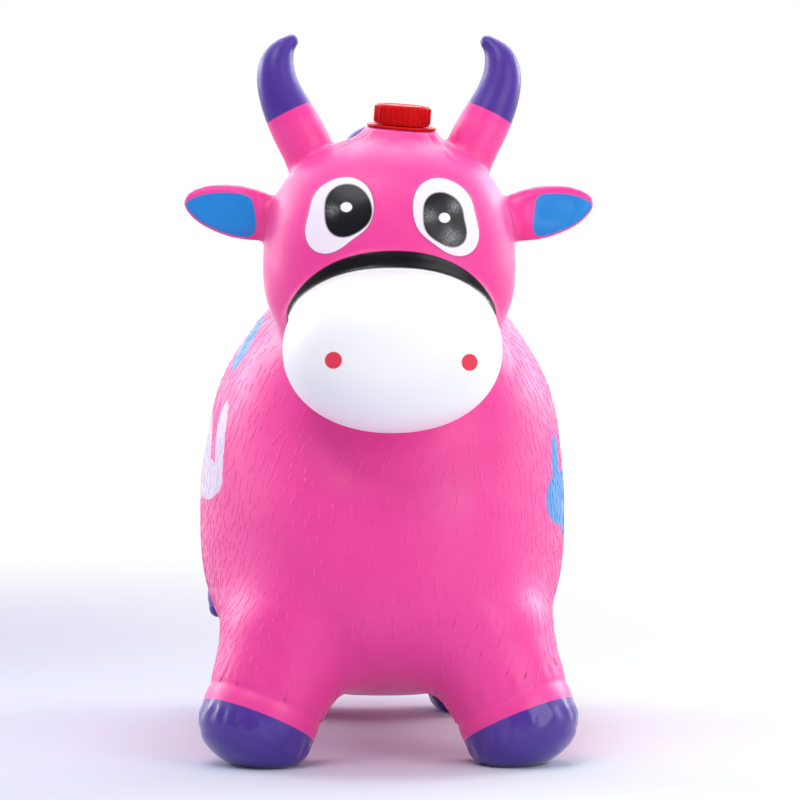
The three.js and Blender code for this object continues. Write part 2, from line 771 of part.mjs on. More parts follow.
const strip = new THREE.ExtrudeGeometry(stripOutline, {
  depth: contactThickness,
  curveSegments: 8,
  bevelEnabled: false,
});
addPiece('contact_strip_upper', solidOf(strip.translate(0, 0, holderTop + gap)), 'brass', unit);

export default cow;
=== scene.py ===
import math

import bmesh
import bpy
import numpy as np
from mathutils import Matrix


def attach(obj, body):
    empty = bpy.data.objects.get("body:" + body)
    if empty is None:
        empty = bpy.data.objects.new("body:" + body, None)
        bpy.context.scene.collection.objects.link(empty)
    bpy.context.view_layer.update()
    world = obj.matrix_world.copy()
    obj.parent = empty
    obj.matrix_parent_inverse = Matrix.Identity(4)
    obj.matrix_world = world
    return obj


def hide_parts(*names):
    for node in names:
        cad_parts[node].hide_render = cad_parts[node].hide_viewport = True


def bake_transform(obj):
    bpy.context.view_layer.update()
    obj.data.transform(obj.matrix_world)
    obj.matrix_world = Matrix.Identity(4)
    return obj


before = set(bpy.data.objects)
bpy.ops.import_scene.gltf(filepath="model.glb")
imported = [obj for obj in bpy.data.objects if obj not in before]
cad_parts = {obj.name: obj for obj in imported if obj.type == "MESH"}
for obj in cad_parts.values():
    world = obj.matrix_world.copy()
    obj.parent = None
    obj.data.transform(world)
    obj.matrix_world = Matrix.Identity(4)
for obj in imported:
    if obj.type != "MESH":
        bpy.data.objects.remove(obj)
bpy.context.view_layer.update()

import openvdb
from mathutils import Euler, Matrix, Vector

# Inflatable cow hopper: one air-filled vinyl skin with sprayed paint, and a sound unit under a red cap.
# The forms are given in millimetres and every mesh is made in metres.
mm = 0.001


# Small helpers for meshes

def linkObject(name, data):
    obj = bpy.data.objects.new(name, data)
    bpy.context.scene.collection.objects.link(obj)
    return obj


def makeObject(name, points, faces):
    mesh = bpy.data.meshes.new(name)
    mesh.from_pydata([tuple(p) for p in points], [], [tuple(f) for f in faces])
    mesh.update()
    return linkObject(name, mesh)


def shadeSmooth(mesh):
    mesh.polygons.foreach_set("use_smooth", np.ones(len(mesh.polygons), bool))


def turnFacesOut(mesh):
    made = bmesh.new()
    made.from_mesh(mesh)
    bmesh.ops.recalc_face_normals(made, faces=made.faces)
    made.to_mesh(mesh)
    made.free()
    shadeSmooth(mesh)


def giveMaterial(obj, material):
    obj.data.materials.clear()
    obj.data.materials.append(material)


def storeFloats(mesh, name, values):
    attribute = mesh.attributes.new(name, "FLOAT", "POINT")
    attribute.data.foreach_set("value", np.ascontiguousarray(values, np.float32))


def storeVectors(mesh, name, values):
    attribute = mesh.attributes.new(name, "FLOAT_VECTOR", "POINT")
    attribute.data.foreach_set("vector", np.ascontiguousarray(values, np.float32).ravel())


# Forms of the skin, close to those of the CAD: a spine, half-sizes along it, and how full and blunt it is

forms = {
    "torso": {
        "start": (0, -205, 0), "end": (0, 275, 0), "across": (-1, 0, 0),
        "halfWidth": (115, 131.5, 131.5, 128, 114),
        "top": (262, 300, 286, 302, 282), "bottom": (34, 35, 40, 36, 62),
        "fullness": 2.6, "rootBluntness": 3.6, "bluntness": 2.6, "blend": 0,
    },
    "neck": {
        "start": (0, -62, 215), "end": (0, -165, 349), "across": (1, 0, 0),
        "halfWidth": (125, 98.5, 40), "halfHeight": (104, 62),
        "fullness": 2.2, "bluntness": 4, "blend": 33,
    },
    "head": {
        "start": (0, -168, 268), "end": (0, -162, 430), "across": (1, 0, 0),
        "halfWidth": (90, 86, 84), "halfHeight": (69, 69),
        "fullness": 2.25, "bluntness": 2.4, "blend": 9,
    },
    "muzzle": {
        "start": (0, -275, 283), "end": (0, -155, 283), "across": (-1, 0, 0),
        "halfWidth": (73, 73), "halfHeight": (55, 55),
        "fullness": 2.12, "bluntness": 2.2, "blend": 5,
    },
    "mane": {
        "start": (0, -93, 356), "end": (0, -115, 445), "across": (1, 0, 0),
        "halfWidth": (18, 33, 33), "halfHeight": (16, 16),
        "fullness": 2, "rootBluntness": 2.4, "bluntness": 4, "blend": 4,
    },
}
leg = {
    "hip": (65, 100), "sole": (101.5, 8), "hips": (-139, 150), "soles": (-165, 170), "rearTuck": 8,
    "radii": (54, 43.5, 41, 40, 39.5), "rootBluntness": 3, "bluntness": 5, "blend": 46,
    "innerBlend": 28, "innerReach": (30, 75),  # the legs meet the belly more tightly than the flanks
    "hoofHeight": 34,   # end of the leg's axis to the paint line, along the leg
    "creaseAbove": 12,  # crease ring above the paint line
    "soleFlat": 6.5,    # how much of the round sole the air-filled foot flattens on the floor
    "soleBlend": 3, "soleZone": 12,  # rounding of that flat's edge, looked for up to a height
    "reach": 75,        # how far from its axis a leg is looked for
}
horn = {
    "root": (54, -165, 416), "startPull": (62, -165, 440),
    "bowPull": (97, -165, 478), "tip": (62, -165, 498),
    "radii": (17.5, 17.5, 15, 11.4, 3.8), "blend": 4,
    "cutAt": 26, "bendOver": 14,  # where the flexing piece starts, along its root direction
    "cutOutside": 38, "cutAbove": 425,
    "paintFromTip": 60,
}
ear = {
    "root": (68, -165, 371), "tip": (140, -165, 386),
    "halfThickness": (8.5, 8.5, 6), "halfHeight": (16.5, 17, 18, 15.4, 11.5),
    "bluntness": 4, "blend": 3.5, "cutAt": 90, "bendOver": 14,
    "cutAbove": 340, "cutBelow": 420, "cutAhead": -130,
    "dishDepth": 2.2, "dishHalf": (25, 14), "dishFromTip": 27, "dishOutside": 85,
    "blueFromLeft": 98.5, "blueFromRight": 91.5, "rimTop": 6.4, "rimBottom": 1.8, "blueCorner": 7,
}
tail = {
    "stations": ((0.965, 88, 0), (0.9, 45, 2.1), (0.72, 8, 4.2), (0.5, -20, 5)),
    "radii": (10, 7), "tuftRadii": (10.5, 10.5, 7), "tuftLength": 40, "blend": 3,
}
unit = {
    "place": (8, -172, 435), "leanForward": 9, "leanSide": 4,
    "boxLow": 48, "boxHigh": 40,  # how far the crown is worked on round the unit's place
    "moundFoot": 32, "moundSkirt": 12, "moundTop": -0.3, "moundBlend": 5,
    "flangeRadius": 23.8, "pocketRadius": 16.2, "pocketDepth": 18.6,
    "wrinkleRadius": 31, "wrinkleWidth": 6, "wrinkleRise": 0.5, "wrinkleHeights": (-25, 5),
    "creases": (-42, -150, 200),  # folds of the crown, by their direction in plan
    "creaseStart": (23, 28), "creaseEnd": (56, 42), "creaseDepth": 1.1, "creaseWidth": 2.2,
    "creaseAbove": -40, "lipOff": 4, "lipRise": 0.7, "lipWidth": 2.5,
}
plug = {
    "place": (0, 270.3, 152), "box": 24, "recessRadius": 9.5, "recessDepth": 0.4, "recessBlend": 3,
    "holeRadius": 4.9, "holeDepth": 13.5, "segments": 48, "rounding": 0.4,
    # radius and height, up the barbed stem and over the head
    "outline": (
        (0, -12), (3.2, -12), (4, -9.2), (4.5, -8.4), (4, -7.6), (4, -5.6), (4.5, -4.8), (4, -4), (4, 0),
        (7.7, 0), (8, 1), (7.4, 2), (4.2, 1.9), (3.6, 1.4), (0, 1.4),
    ),
}
skin = {"cell": 2.4, "margin": 8, "reach": 12, "far": 60.0, "relax": 3, "largestMove": 2}


def profile(values, count=257):
    # smooth values through evenly spaced stations, from s = -1 to s = +1
    v = np.array(values, float)
    x = np.linspace(0, len(v) - 1, count)
    i = np.minimum(x.astype(int), len(v) - 2)
    w = x - i
    before, after = v[np.maximum(i - 1, 0)], v[np.minimum(i + 2, len(v) - 1)]
    slopeIn, slopeOut = (v[i + 1] - before) / 2, (after - v[i]) / 2
    a = 2 * v[i] - 2 * v[i + 1] + slopeIn + slopeOut
    b = -3 * v[i] + 3 * v[i + 1] - 2 * slopeIn - slopeOut
    table = (((a * w + b) * w + slopeIn) * w + v[i]).astype(np.float32)
    stations = np.linspace(-1, 1, count)
    return lambda s: np.interp(s, stations, table).astype(np.float32)


def unitVector(v):
    v = np.array(v, float)
    return v / np.linalg.norm(v)


def swollenForm(spec):
    # returns the distance function of one swollen form, in millimetres
    start, end = np.array(spec["start"], float), np.array(spec["end"], float)
    along = unitVector(end - start)
    up = unitVector(np.cross(along, spec["across"]))
    side = np.cross(up, along)
    middle, half = (start + end) / 2, np.linalg.norm(end - start) / 2
    width = profile(spec["halfWidth"])
    n, m = spec["fullness"], spec["bluntness"]
    if "top" in spec:
        top, bottom = profile(spec["top"]), profile(spec["bottom"])
        height, lift = (lambda s: (top(s) - bottom(s)) / 2), (lambda s: (top(s) + bottom(s)) / 2)
    else:
        height, lift = profile(spec["halfHeight"]), None

    def distance(x, y, z):
        dx, dy, dz = x - middle[0], y - middle[1], z - middle[2]
        s = ((dx * along[0] + dy * along[1] + dz * along[2]) / half).astype(np.float32)
        u = (dx * side[0] + dy * side[1] + dz * side[2]).astype(np.float32)
        v = (dx * up[0] + dy * up[1] + dz * up[2]).astype(np.float32)
        if lift:
            v = v - lift(s)
        wide, high = width(s), height(s)
        q, r, p = np.abs(u) / wide, np.abs(v) / high, np.abs(s)
        blunt = np.where(s < 0, spec.get("rootBluntness", m), m).astype(np.float32)
        qPower, rPower, pPower = q ** (n - 1), r ** (n - 1), p ** (blunt - 1)
        level = np.maximum(q * qPower + r * rPower + p * pPower, 1e-6)
        scale = level ** (1 / n - 1)
        ahead = pPower * blunt / n / half
        slope = scale * np.sqrt((qPower / wide) ** 2 + (rPower / high) ** 2 + ahead ** 2)
        return (level * scale - 1) / np.maximum(slope, 1e-3)

    reach = max(spec["halfWidth"]) if "top" in spec else max(*spec["halfWidth"], *spec["halfHeight"])
    low, high = np.minimum(start, end) - reach, np.maximum(start, end) + reach
    if "top" in spec:
        low[2], high[2] = min(spec["bottom"]), max(spec["top"])
    return {"distance": distance, "low": low, "high": high, "blend": spec["blend"]}


def tubeForm(points, radii, blend):
    # a tube with rounded ends round a list of spine points
    points, radii = np.array(points, float), np.array(radii, float)

    def distance(x, y, z):
        best = None
        for a, b, ra, rb in zip(points[:-1], points[1:], radii[:-1], radii[1:]):
            d = b - a
            t = ((x - a[0]) * d[0] + (y - a[1]) * d[1] + (z - a[2]) * d[2]) / d.dot(d)
            t = np.clip(t, 0, 1)
            offX, offY, offZ = x - a[0] - t * d[0], y - a[1] - t * d[1], z - a[2] - t * d[2]
            found = np.sqrt(offX ** 2 + offY ** 2 + offZ ** 2) - (ra + t * (rb - ra))
            best = found if best is None else np.minimum(best, found)
        return best.astype(np.float32)

    low = (points - radii[:, None]).min(0)
    high = (points + radii[:, None]).max(0)
    return {"distance": distance, "low": low, "high": high, "blend": blend}


def mirrored(point, out):
    return np.array(point, float) * (out, 1, 1)


def legForm(out, rear):
    # foot ahead of the front hip, behind the rear hip; the whole leg is set down so that the sole is cut flat
    behind, tuck = (1, leg["rearTuck"]) if rear > 0 else (0, 0)
    hip = np.array((out * (leg["hip"][0] - tuck), leg["hips"][behind], leg["hip"][1]), float)
    sole = np.array((out * (leg["sole"][0] - tuck), leg["soles"][behind], leg["sole"][1]), float)
    spec = {
        "start": hip, "end": sole, "across": (1, 0, 0), "halfWidth": leg["radii"], "halfHeight": leg["radii"],
        "fullness": 2, **{name: leg[name] for name in ("rootBluntness", "bluntness", "blend")},
    }
    # its lowest point is looked for on a grid round the sole
    reach = np.linspace(-45, 45, 61)
    x, y, z = np.meshgrid(sole[0] + reach, sole[1] + reach, np.linspace(-40, 20, 121), indexing="ij")
    lowest = z[swollenForm(spec)["distance"](x, y, z) < 0].min()
    drop = np.array((0, 0, -leg["soleFlat"] - lowest))
    spec["start"], spec["end"] = hip + drop, sole + drop
    return spec


def formPoint(spec, s, angle, standOff):
    # a point on the torso at a share of its half-length and an angle round it
    middle = (np.array(spec["start"]) + spec["end"]) / 2
    half = (spec["end"][1] - spec["start"][1]) / 2
    wide = float(profile(spec["halfWidth"])(s))
    top, bottom = float(profile(spec["top"])(s)), float(profile(spec["bottom"])(s))
    opening = (1 - abs(s) ** spec["bluntness"]) ** (1 / spec["fullness"])
    c, t = math.cos(math.radians(angle)), math.sin(math.radians(angle))
    power = 2 / spec["fullness"]
    u = (wide + standOff) * opening * math.copysign(abs(c) ** power, c)
    v = ((top - bottom) / 2 + standOff) * opening * math.copysign(abs(t) ** power, t)
    return np.array((-u, middle[1] + s * (half + standOff), (top + bottom) / 2 + v))


def curveThrough(points, count):
    # centripetal curve through the points, as the CAD's tail spine
    points = [np.array(p, float) for p in points]
    ends = [2 * points[0] - points[1], *points, 2 * points[-1] - points[-2]]
    spine = []
    for i in range(len(points) - 1):
        a, b, c, d = ends[i:i + 4]
        ta = np.linalg.norm(b - a) ** 0.5
        tb = np.linalg.norm(c - b) ** 0.5
        tc = np.linalg.norm(d - c) ** 0.5
        slopeB = ((b - a) / ta - (c - a) / (ta + tb) + (c - b) / tb) * tb
        slopeC = ((c - b) / tb - (d - b) / (tb + tc) + (d - c) / tc) * tb
        for t in np.linspace(0, 1, count, endpoint=False):
            h = t * t * (3 - 2 * t)
            spine.append(b + (c - b) * h + slopeB * (t ** 3 - 2 * t ** 2 + t) + slopeC * (t ** 3 - t ** 2))
    return [*spine, points[-1]]


legSpecs = {(out, rear): legForm(out, rear) for out in (1, -1) for rear in (-1, 1)}


def hornSpine(out, count):
    root, start, bow, tip = (mirrored(horn[k], out) for k in ("root", "startPull", "bowPull", "tip"))
    t = np.linspace(0, 1, count)[:, None]
    return (1 - t) ** 3 * root + 3 * t * (1 - t) ** 2 * start + 3 * t ** 2 * (1 - t) * bow + t ** 3 * tip


def hornWay(out):
    return unitVector(mirrored(horn["startPull"], out) - mirrored(horn["root"], out))


def hornForm(out):
    spine = hornSpine(out, 40)
    radii = profile(horn["radii"])(np.linspace(-1, 1, len(spine)))
    left = np.linalg.norm(spine - spine[-1], axis=1)
    keep = left > radii[-1]  # the rounded end stays inside the tip
    return tubeForm(spine[keep], radii[keep], horn["blend"])


def earForm(out):
    return swollenForm({
        "start": mirrored(ear["root"], out), "end": mirrored(ear["tip"], out), "across": (0, 1, 0),
        "halfWidth": ear["halfThickness"], "halfHeight": ear["halfHeight"],
        "fullness": 2, "bluntness": ear["bluntness"], "blend": ear["blend"],
    })


tailSpine = curveThrough([formPoint(forms["torso"], *station) for station in tail["stations"]], 10)
tailWay = unitVector(tailSpine[-1] - tailSpine[-2])
tuftSpine = [tailSpine[-1] + tailWay * tail["tuftLength"] * t for t in np.linspace(0.2, 0.85, 8)]
skinForms = {name: swollenForm(forms[name]) for name in ("torso", "neck")}
for (out, rear), spec in legSpecs.items():
    skinForms[f"leg{out}{rear}"] = swollenForm(spec)
for name in ("head", "muzzle", "mane"):
    skinForms[name] = swollenForm(forms[name])
for out in (1, -1):
    skinForms[f"horn{out}"] = hornForm(out)
    skinForms[f"ear{out}"] = earForm(out)
skinForms["tail"] = tubeForm(tailSpine, np.linspace(*tail["radii"], len(tailSpine)), tail["blend"])
skinForms["tuft"] = tubeForm(tuftSpine, profile(tail["tuftRadii"])(np.linspace(-1, 1, 8)), tail["blend"])

unitTurn = Euler((math.radians(unit["leanForward"]), math.radians(unit["leanSide"]), 0)).to_matrix()
unitAxis = np.array(unitTurn @ Vector((0, 0, 1)))
unitMatrix = Matrix.Translation(Vector(unit["place"]) * mm) @ unitTurn.to_4x4()


def unitCoordinates(x, y, z):
    # radius from the unit's axis and height along it
    px, py, pz = unit["place"]
    height = (x - px) * unitAxis[0] + (y - py) * unitAxis[1] + (z - pz) * unitAxis[2]
    square = (x - px) ** 2 + (y - py) ** 2 + (z - pz) ** 2
    return np.sqrt(np.maximum(square - height ** 2, 0)), height


def bump(distance, width):
    return np.exp(-(distance / width) ** 2)


def smoothStep(low, high, x):
    t = np.clip((x - low) / (high - low), 0, 1)
    return t * t * (3 - 2 * t)


def smoothUnion(a, b, radius):
    near = np.maximum(radius - np.abs(a - b), 0)
    return np.minimum(a, b) - near * near / (4 * np.maximum(radius, 1e-6))


def smoothCut(a, b, radius):
    return -smoothUnion(-a, b, radius)  # a without b


# The skin: all forms run together on a grid of distances, then meshed

def buildField():
    cell = skin["cell"]
    low = np.min([f["low"] for f in skinForms.values()], axis=0) - skin["margin"]
    high = np.max([f["high"] for f in skinForms.values()], axis=0) + skin["margin"]
    low[0], high[0] = -high[0], high[0]
    counts = np.ceil((high - low) / cell).astype(int) + 1
    axes = [low[i] + cell * np.arange(counts[i]) for i in range(3)]
    field = np.full(counts, skin["far"], np.float32)

    def window(lowest, highest, pad):
        cuts = []
        for i in range(3):
            first = max(int((lowest[i] - pad - low[i]) / cell), 0)
            last = min(int((highest[i] + pad - low[i]) / cell) + 2, counts[i])
            cuts.append(slice(first, last))
        shapes = ((-1, 1, 1), (1, -1, 1), (1, 1, -1))
        return tuple(cuts), [axes[i][cuts[i]].reshape(shapes[i]) for i in range(3)]

    for name, form in skinForms.items():
        if name == "muzzle":
            body = field.copy()
        cut, places = window(form["low"], form["high"], form["blend"] + skin["reach"])
        blend = form["blend"]
        if name.startswith("leg"):
            outward = smoothStep(*leg["innerReach"], np.abs(places[0]))
            blend = leg["innerBlend"] + (blend - leg["innerBlend"]) * outward
        field[cut] = smoothUnion(field[cut], form["distance"](*places), blend)

    # mound and pocket of the sound unit
    centre = np.array(unit["place"], float)
    cut, places = window(centre - unit["boxLow"], centre + unit["boxHigh"], 0)
    radius, height = unitCoordinates(*places)
    slope = (unit["moundFoot"] - unit["flangeRadius"]) / unit["moundSkirt"]
    mound = (radius - unit["flangeRadius"] + slope * height) / math.hypot(1, slope)
    mound = np.maximum(height - unit["moundTop"], mound)
    mound = np.maximum(mound, -height - unit["moundSkirt"])
    field[cut] = smoothUnion(field[cut], mound, unit["moundBlend"])
    pocket = np.maximum(radius - unit["pocketRadius"], -height - unit["pocketDepth"])
    field[cut] = np.maximum(field[cut], -pocket)

    # recess and hole of the air plug
    centre = np.array(plug["place"], float)
    cut, places = window(centre, centre, plug["box"])
    x, y, z = (p - c for p, c in zip(places, centre))
    radius = np.sqrt(x ** 2 + z ** 2)
    recess = np.maximum(radius - plug["recessRadius"], -y - plug["recessDepth"])
    field[cut] = smoothCut(field[cut], recess, plug["recessBlend"])
    field[cut] = np.maximum(field[cut], -np.maximum(radius - plug["holeRadius"], -y - plug["holeDepth"]))

    # soles pressed flat on the floor
    cut, places = window(low, np.array((high[0], high[1], leg["soleZone"])), 0)
    field[cut] = smoothCut(field[cut], places[2] + 0 * field[cut], leg["soleBlend"])
    return field, body, low


def sampleField(field, low, points):
    spot = (points - low) / skin["cell"]
    first = np.clip(np.floor(spot).astype(int), 0, np.array(field.shape) - 2)
    w = spot - first
    total = np.zeros(len(points))
    for i in (0, 1):
        for j in (0, 1):
            for k in (0, 1):
                share = np.abs(1 - i - w[:, 0]) * np.abs(1 - j - w[:, 1]) * np.abs(1 - k - w[:, 2])
                total += share * field[first[:, 0] + i, first[:, 1] + j, first[:, 2] + k]
    return total


def fieldSlope(field, low, points):
    step = skin["cell"] * 0.6
    slope = np.empty_like(points)
    for i in range(3):
        shift = np.zeros(3)
        shift[i] = step
        ahead = sampleField(field, low, points + shift)
        slope[:, i] = (ahead - sampleField(field, low, points - shift)) / (2 * step)
    return slope


def meshField(field, low):
    grid = openvdb.FloatGrid(skin["far"])
    grid.copyFromArray(field)
    points, quads = grid.convertToQuads(isovalue=0.0)
    points = points.astype(float) * skin["cell"] + low
    edges = np.concatenate([quads[:, (0, 1)], quads[:, (1, 2)], quads[:, (2, 3)], quads[:, (3, 0)]])
    counts = np.bincount(edges.ravel(), minlength=len(points))[:, None]
    for turn in range(skin["relax"] + 1):
        if turn:
            total = np.zeros_like(points)
            np.add.at(total, edges[:, 0], points[edges[:, 1]])
            np.add.at(total, edges[:, 1], points[edges[:, 0]])
            points = 0.5 * points + 0.5 * total / counts
        for _ in range(2):
            slope = fieldSlope(field, low, points)
            level = sampleField(field, low, points)
            square = np.maximum((slope ** 2).sum(1), 0.05)
            move = -slope * (level / square)[:, None]
            points = points + np.clip(move, -skin["largestMove"], skin["largestMove"])
    # outward faces
    a, b, c = (points[quads[:, i]] for i in (0, 1, 2))
    normal = np.cross(b - a, c - a)
    if (normal * fieldSlope(field, low, a)).sum() < 0:
        quads = quads[:, ::-1]
    return points, quads


field, bodyField, fieldLow = buildField()
skinPoints, skinQuads = meshField(field, fieldLow)
print("skin meshed,", len(skinPoints), "points,", len(skinQuads), "faces")


def vertexNormals(points, quads):
    a, b, c, d = (points[quads[:, i]] for i in range(4))
    face = np.cross(c - a, d - b)
    normals = np.zeros_like(points)
    for i in range(4):
        np.add.at(normals, quads[:, i], face)
    return normals / np.maximum(np.linalg.norm(normals, axis=1), 1e-9)[:, None]


# Moulded detail: rings and puckers of the feet, raised eyes and noseband, ear dishes, wrinkles round the unit

hoof = {
    "below": 75, "puckers": 17, "puckerCentre": (92, 163),
    # rings round the foot: height above the paint line, width, rise, and if they pucker
    "rings": (
        (leg["creaseAbove"], 2.4, -0.8, False), (4, 5, 0.3, False), (-20, 1.8, -0.7, False),
        (-9, 5, 0.8, True), (20, 4, 0.4, True),
    ),
}
face = {
    "front": -172,  # the paint of the face lies ahead of this
    "bandCentre": (0, 283.5), "bandOuter": (75.5, 64.6, 2.2), "bandInner": (74, 53.1, 2.3), "bandEnd": 299,
    "bandRise": 1.4, "bandEdge": (1.5, -1.0), "bandDepth": (-16, -10), "bandFade": (-3, 9), "bandFront": -190,
    "bandTaper": 3.4, "bandTaperOver": (15, -2), "bandEndSlope": 0.7,  # its paint narrows at both ends
    "eyeRise": 0.9, "eyeEdge": 1.4, "eyeOutline": 0.8, "outlineShare": 0.6,
    "nostrils": ((-40.3, 275.6), (48.1, 274.4)), "nostrilHalf": (5.5, 5.5),
    # outlines of the eyes: centre, mean radius, and waves round it with their count, swell and direction
    "eyeWhites": (
        ((-35.9, 372.8), 23.1, ((2, 3.7, 56), (3, 1.35, -3), (4, 0.85, -33))),
        ((35.2, 371.5), 23.4, ((2, 3.7, -60), (3, 1.1, -54), (4, 0.85, 34))),
    ),
    "pupils": (
        ((-30.3, 375), 16.9, ((2, 1.15, 80), (3, 0.65, -3), (4, 0.3, -28))),
        ((34, 369), 16.4, ((2, 2.55, -69), (3, 0.65, -48), (4, 0.65, 35))),
    ),
    "glints": ((-31, 377.1), (33.8, 370.2)), "glintHalf": (3.8, 3.3),
    # painted reflections: grey sweeps round each glint, where light gleams on the gloss black: direction,
    # spread and reach
    "reflectionSweeps": (((190, 20, 9),), ((172, 22, 10), (288, 24, 13), (48, 20, 11))),
}


unpainted = 50  # a level well outside any paint


def ovalLevel(x, z, centre, oval):
    # level of a full oval: half-width, half-height and how full it is
    wide, high, full = oval
    length = (np.abs((x - centre[0]) / wide) ** full + np.abs((z - centre[1]) / high) ** full) ** (1 / full)
    return (length - 1) * high


def spotLevel(x, z, centre, radius, waves):
    # level of a rounded spot whose radius swells along the directions of its waves
    dx, dz = x - centre[0], z - centre[1]
    angle = np.arctan2(dz, dx)
    edge = radius + sum(swell * np.cos(count * (angle - math.radians(way))) for count, swell, way in waves)
    return np.hypot(dx, dz) - edge


def spotsLevel(points, spots):
    # nearest of several spots, on the front of the head only
    x, y, z = points.T
    level = np.min([spotLevel(x, z, *spot) for spot in spots], axis=0)
    return np.where(y < face["front"], level, unpainted)


def legHeights(points):
    # height above each sole along its leg, for the nearest leg
    best, height = np.full(len(points), 1e9), np.zeros(len(points))
    for spec in legSpecs.values():
        along = unitVector(spec["end"] - spec["start"])
        offset = points - spec["end"]
        up = -(offset @ along)
        away = np.linalg.norm(offset + up[:, None] * along, axis=1)
        nearer = away < best
        best[nearer], height[nearer] = away[nearer], up[nearer]
    height[best > leg["reach"]] = 1e3
    return height


def mouldedDetail(points, normals):
    x, y, z = points.T
    rise = np.zeros(len(points))
    above = legHeights(points) - leg["hoofHeight"]
    centreX, centreY = hoof["puckerCentre"]
    around = np.arctan2(y - np.sign(y) * centreY, x - np.sign(x) * centreX)
    puckers = np.sin(hoof["puckers"] * around + 2 * np.sin(3 * around))
    for at, width, swell, puckered in hoof["rings"]:
        rise += swell * bump(above - at, width) * (puckers if puckered else 1) * (z < hoof["below"])
    eyes = spotsLevel(points, face["eyeWhites"])
    rise += face["eyeRise"] * smoothStep(face["eyeEdge"], -face["eyeEdge"], eyes)
    outer = ovalLevel(x, z, face["bandCentre"], face["bandOuter"])
    band = smoothStep(*face["bandEdge"], outer) * smoothStep(*face["bandDepth"], outer)
    band *= smoothStep(*face["bandFade"], z - face["bandEnd"])
    rise += face["bandRise"] * band * (normals[:, 1] < -0.15) * (y < face["bandFront"])
    for out in (1, -1):
        tip, root = mirrored(ear["tip"], out), mirrored(ear["root"], out)
        way = unitVector(tip - root)
        offset = points - (tip - way * ear["dishFromTip"])
        a, b = offset @ way, offset @ np.cross(way, (0, -1, 0))
        level = np.sqrt((a / ear["dishHalf"][0]) ** 2 + (b / ear["dishHalf"][1]) ** 2)
        front = smoothStep(0.1, 0.6, -normals[:, 1]) * (np.abs(x) > ear["dishOutside"])
        rise -= ear["dishDepth"] * smoothStep(1.05, 0.45, level) * front
    radius, height = unitCoordinates(x, y, z)
    angle = np.arctan2(y - unit["place"][1], x - unit["place"][0])
    wrinkle = np.sin(angle * 17) * np.sin(angle * 5 + 1)
    wrinkle *= bump(radius - unit["wrinkleRadius"], unit["wrinkleWidth"])
    lowest, highest = unit["wrinkleHeights"]
    rise += unit["wrinkleRise"] * wrinkle * (height > lowest) * (height < highest)
    for turn in np.radians(unit["creases"]):
        off = np.abs(radius * np.sin(angle - turn))
        along = radius * np.cos(angle - turn)
        fold = smoothStep(*unit["creaseStart"], along) * smoothStep(*unit["creaseEnd"], along)
        lip = unit["lipRise"] * bump(off - unit["lipOff"], unit["lipWidth"])
        dent = unit["creaseDepth"] * bump(off, unit["creaseWidth"])
        rise += (lip - dent) * fold * (height > unit["creaseAbove"])
    return points + normals * rise[:, None]


skinNormals = vertexNormals(skinPoints, skinQuads)
skinPoints = mouldedDetail(skinPoints, skinNormals)
skinNormals = vertexNormals(skinPoints, skinQuads)


# Which form a point belongs to, as distances for the paint edges

def formLevel(name, points):
    x, y, z = points.T
    return skinForms[name]["distance"](x, y, z).astype(float)


skinX, skinY, skinZ = skinPoints.T
base = sampleField(bodyField, fieldLow, skinPoints)
outer, inner = (ovalLevel(skinX, skinZ, face["bandCentre"], face[k]) for k in ("bandOuter", "bandInner"))
muzzleLevel = formLevel("muzzle", skinPoints) - base
aboveEnd = skinZ - face["bandEnd"]
bandLevel = outer + face["bandTaper"] * smoothStep(*face["bandTaperOver"], aboveEnd)
bandLevel = np.maximum(bandLevel, -face["bandEndSlope"] * aboveEnd)
paintLevels = {
    "muzzlePaint": np.where(skinZ > face["bandCentre"][1], np.maximum(muzzleLevel, inner), muzzleLevel),
    "bandPaint": np.where(skinY < face["front"], bandLevel, unpainted),
    "eyeWhite": spotsLevel(skinPoints, face["eyeWhites"]),
    "pupilPaint": spotsLevel(skinPoints, face["pupils"]),
    "manePaint": formLevel("mane", skinPoints) - base,
    "tuftPaint": formLevel("tuft", skinPoints) - np.minimum(base, formLevel("tail", skinPoints)),
    "hoofPaint": legHeights(skinPoints) - leg["hoofHeight"],
}


# painted reflection on the pupils: grey sweeps round each glint
def pupilSheen(points):
    x, y, z = points.T
    sheen = np.zeros(len(points))
    for glint, reflectionSweeps in zip(face["glints"], face["reflectionSweeps"]):
        dx, dz = x - glint[0], z - glint[1]
        off = np.hypot(dx, dz)
        for way, spread, reach in reflectionSweeps:
            turn = np.degrees(np.arctan2(dz, dx)) - way
            turn = (turn + 180) % 360 - 180
            sheen += bump(turn, spread) * bump(off - reach, 0.45 * reach)
    return np.where(y < face["front"], np.minimum(sheen, 1), 0)


def hornReach(points, out):
    # length along the horn from its paint line, positive towards the tip
    spine = hornSpine(out, 300)
    steps = np.linalg.norm(np.diff(spine, axis=0), axis=1)
    along = np.concatenate([[0], np.cumsum(steps)])
    best, reach = np.full(len(points), 1e9), np.zeros(len(points))
    for a, b, start, step in zip(spine[:-1], spine[1:], along, steps):
        share = np.clip((points - a) @ (b - a) / step ** 2, 0, 1)
        gapTo = np.linalg.norm(points - a - share[:, None] * (b - a), axis=1)
        nearer = gapTo < best
        best[nearer], reach[nearer] = gapTo[nearer], (start + share * step)[nearer]
    return reach - (along[-1] - horn["paintFromTip"])


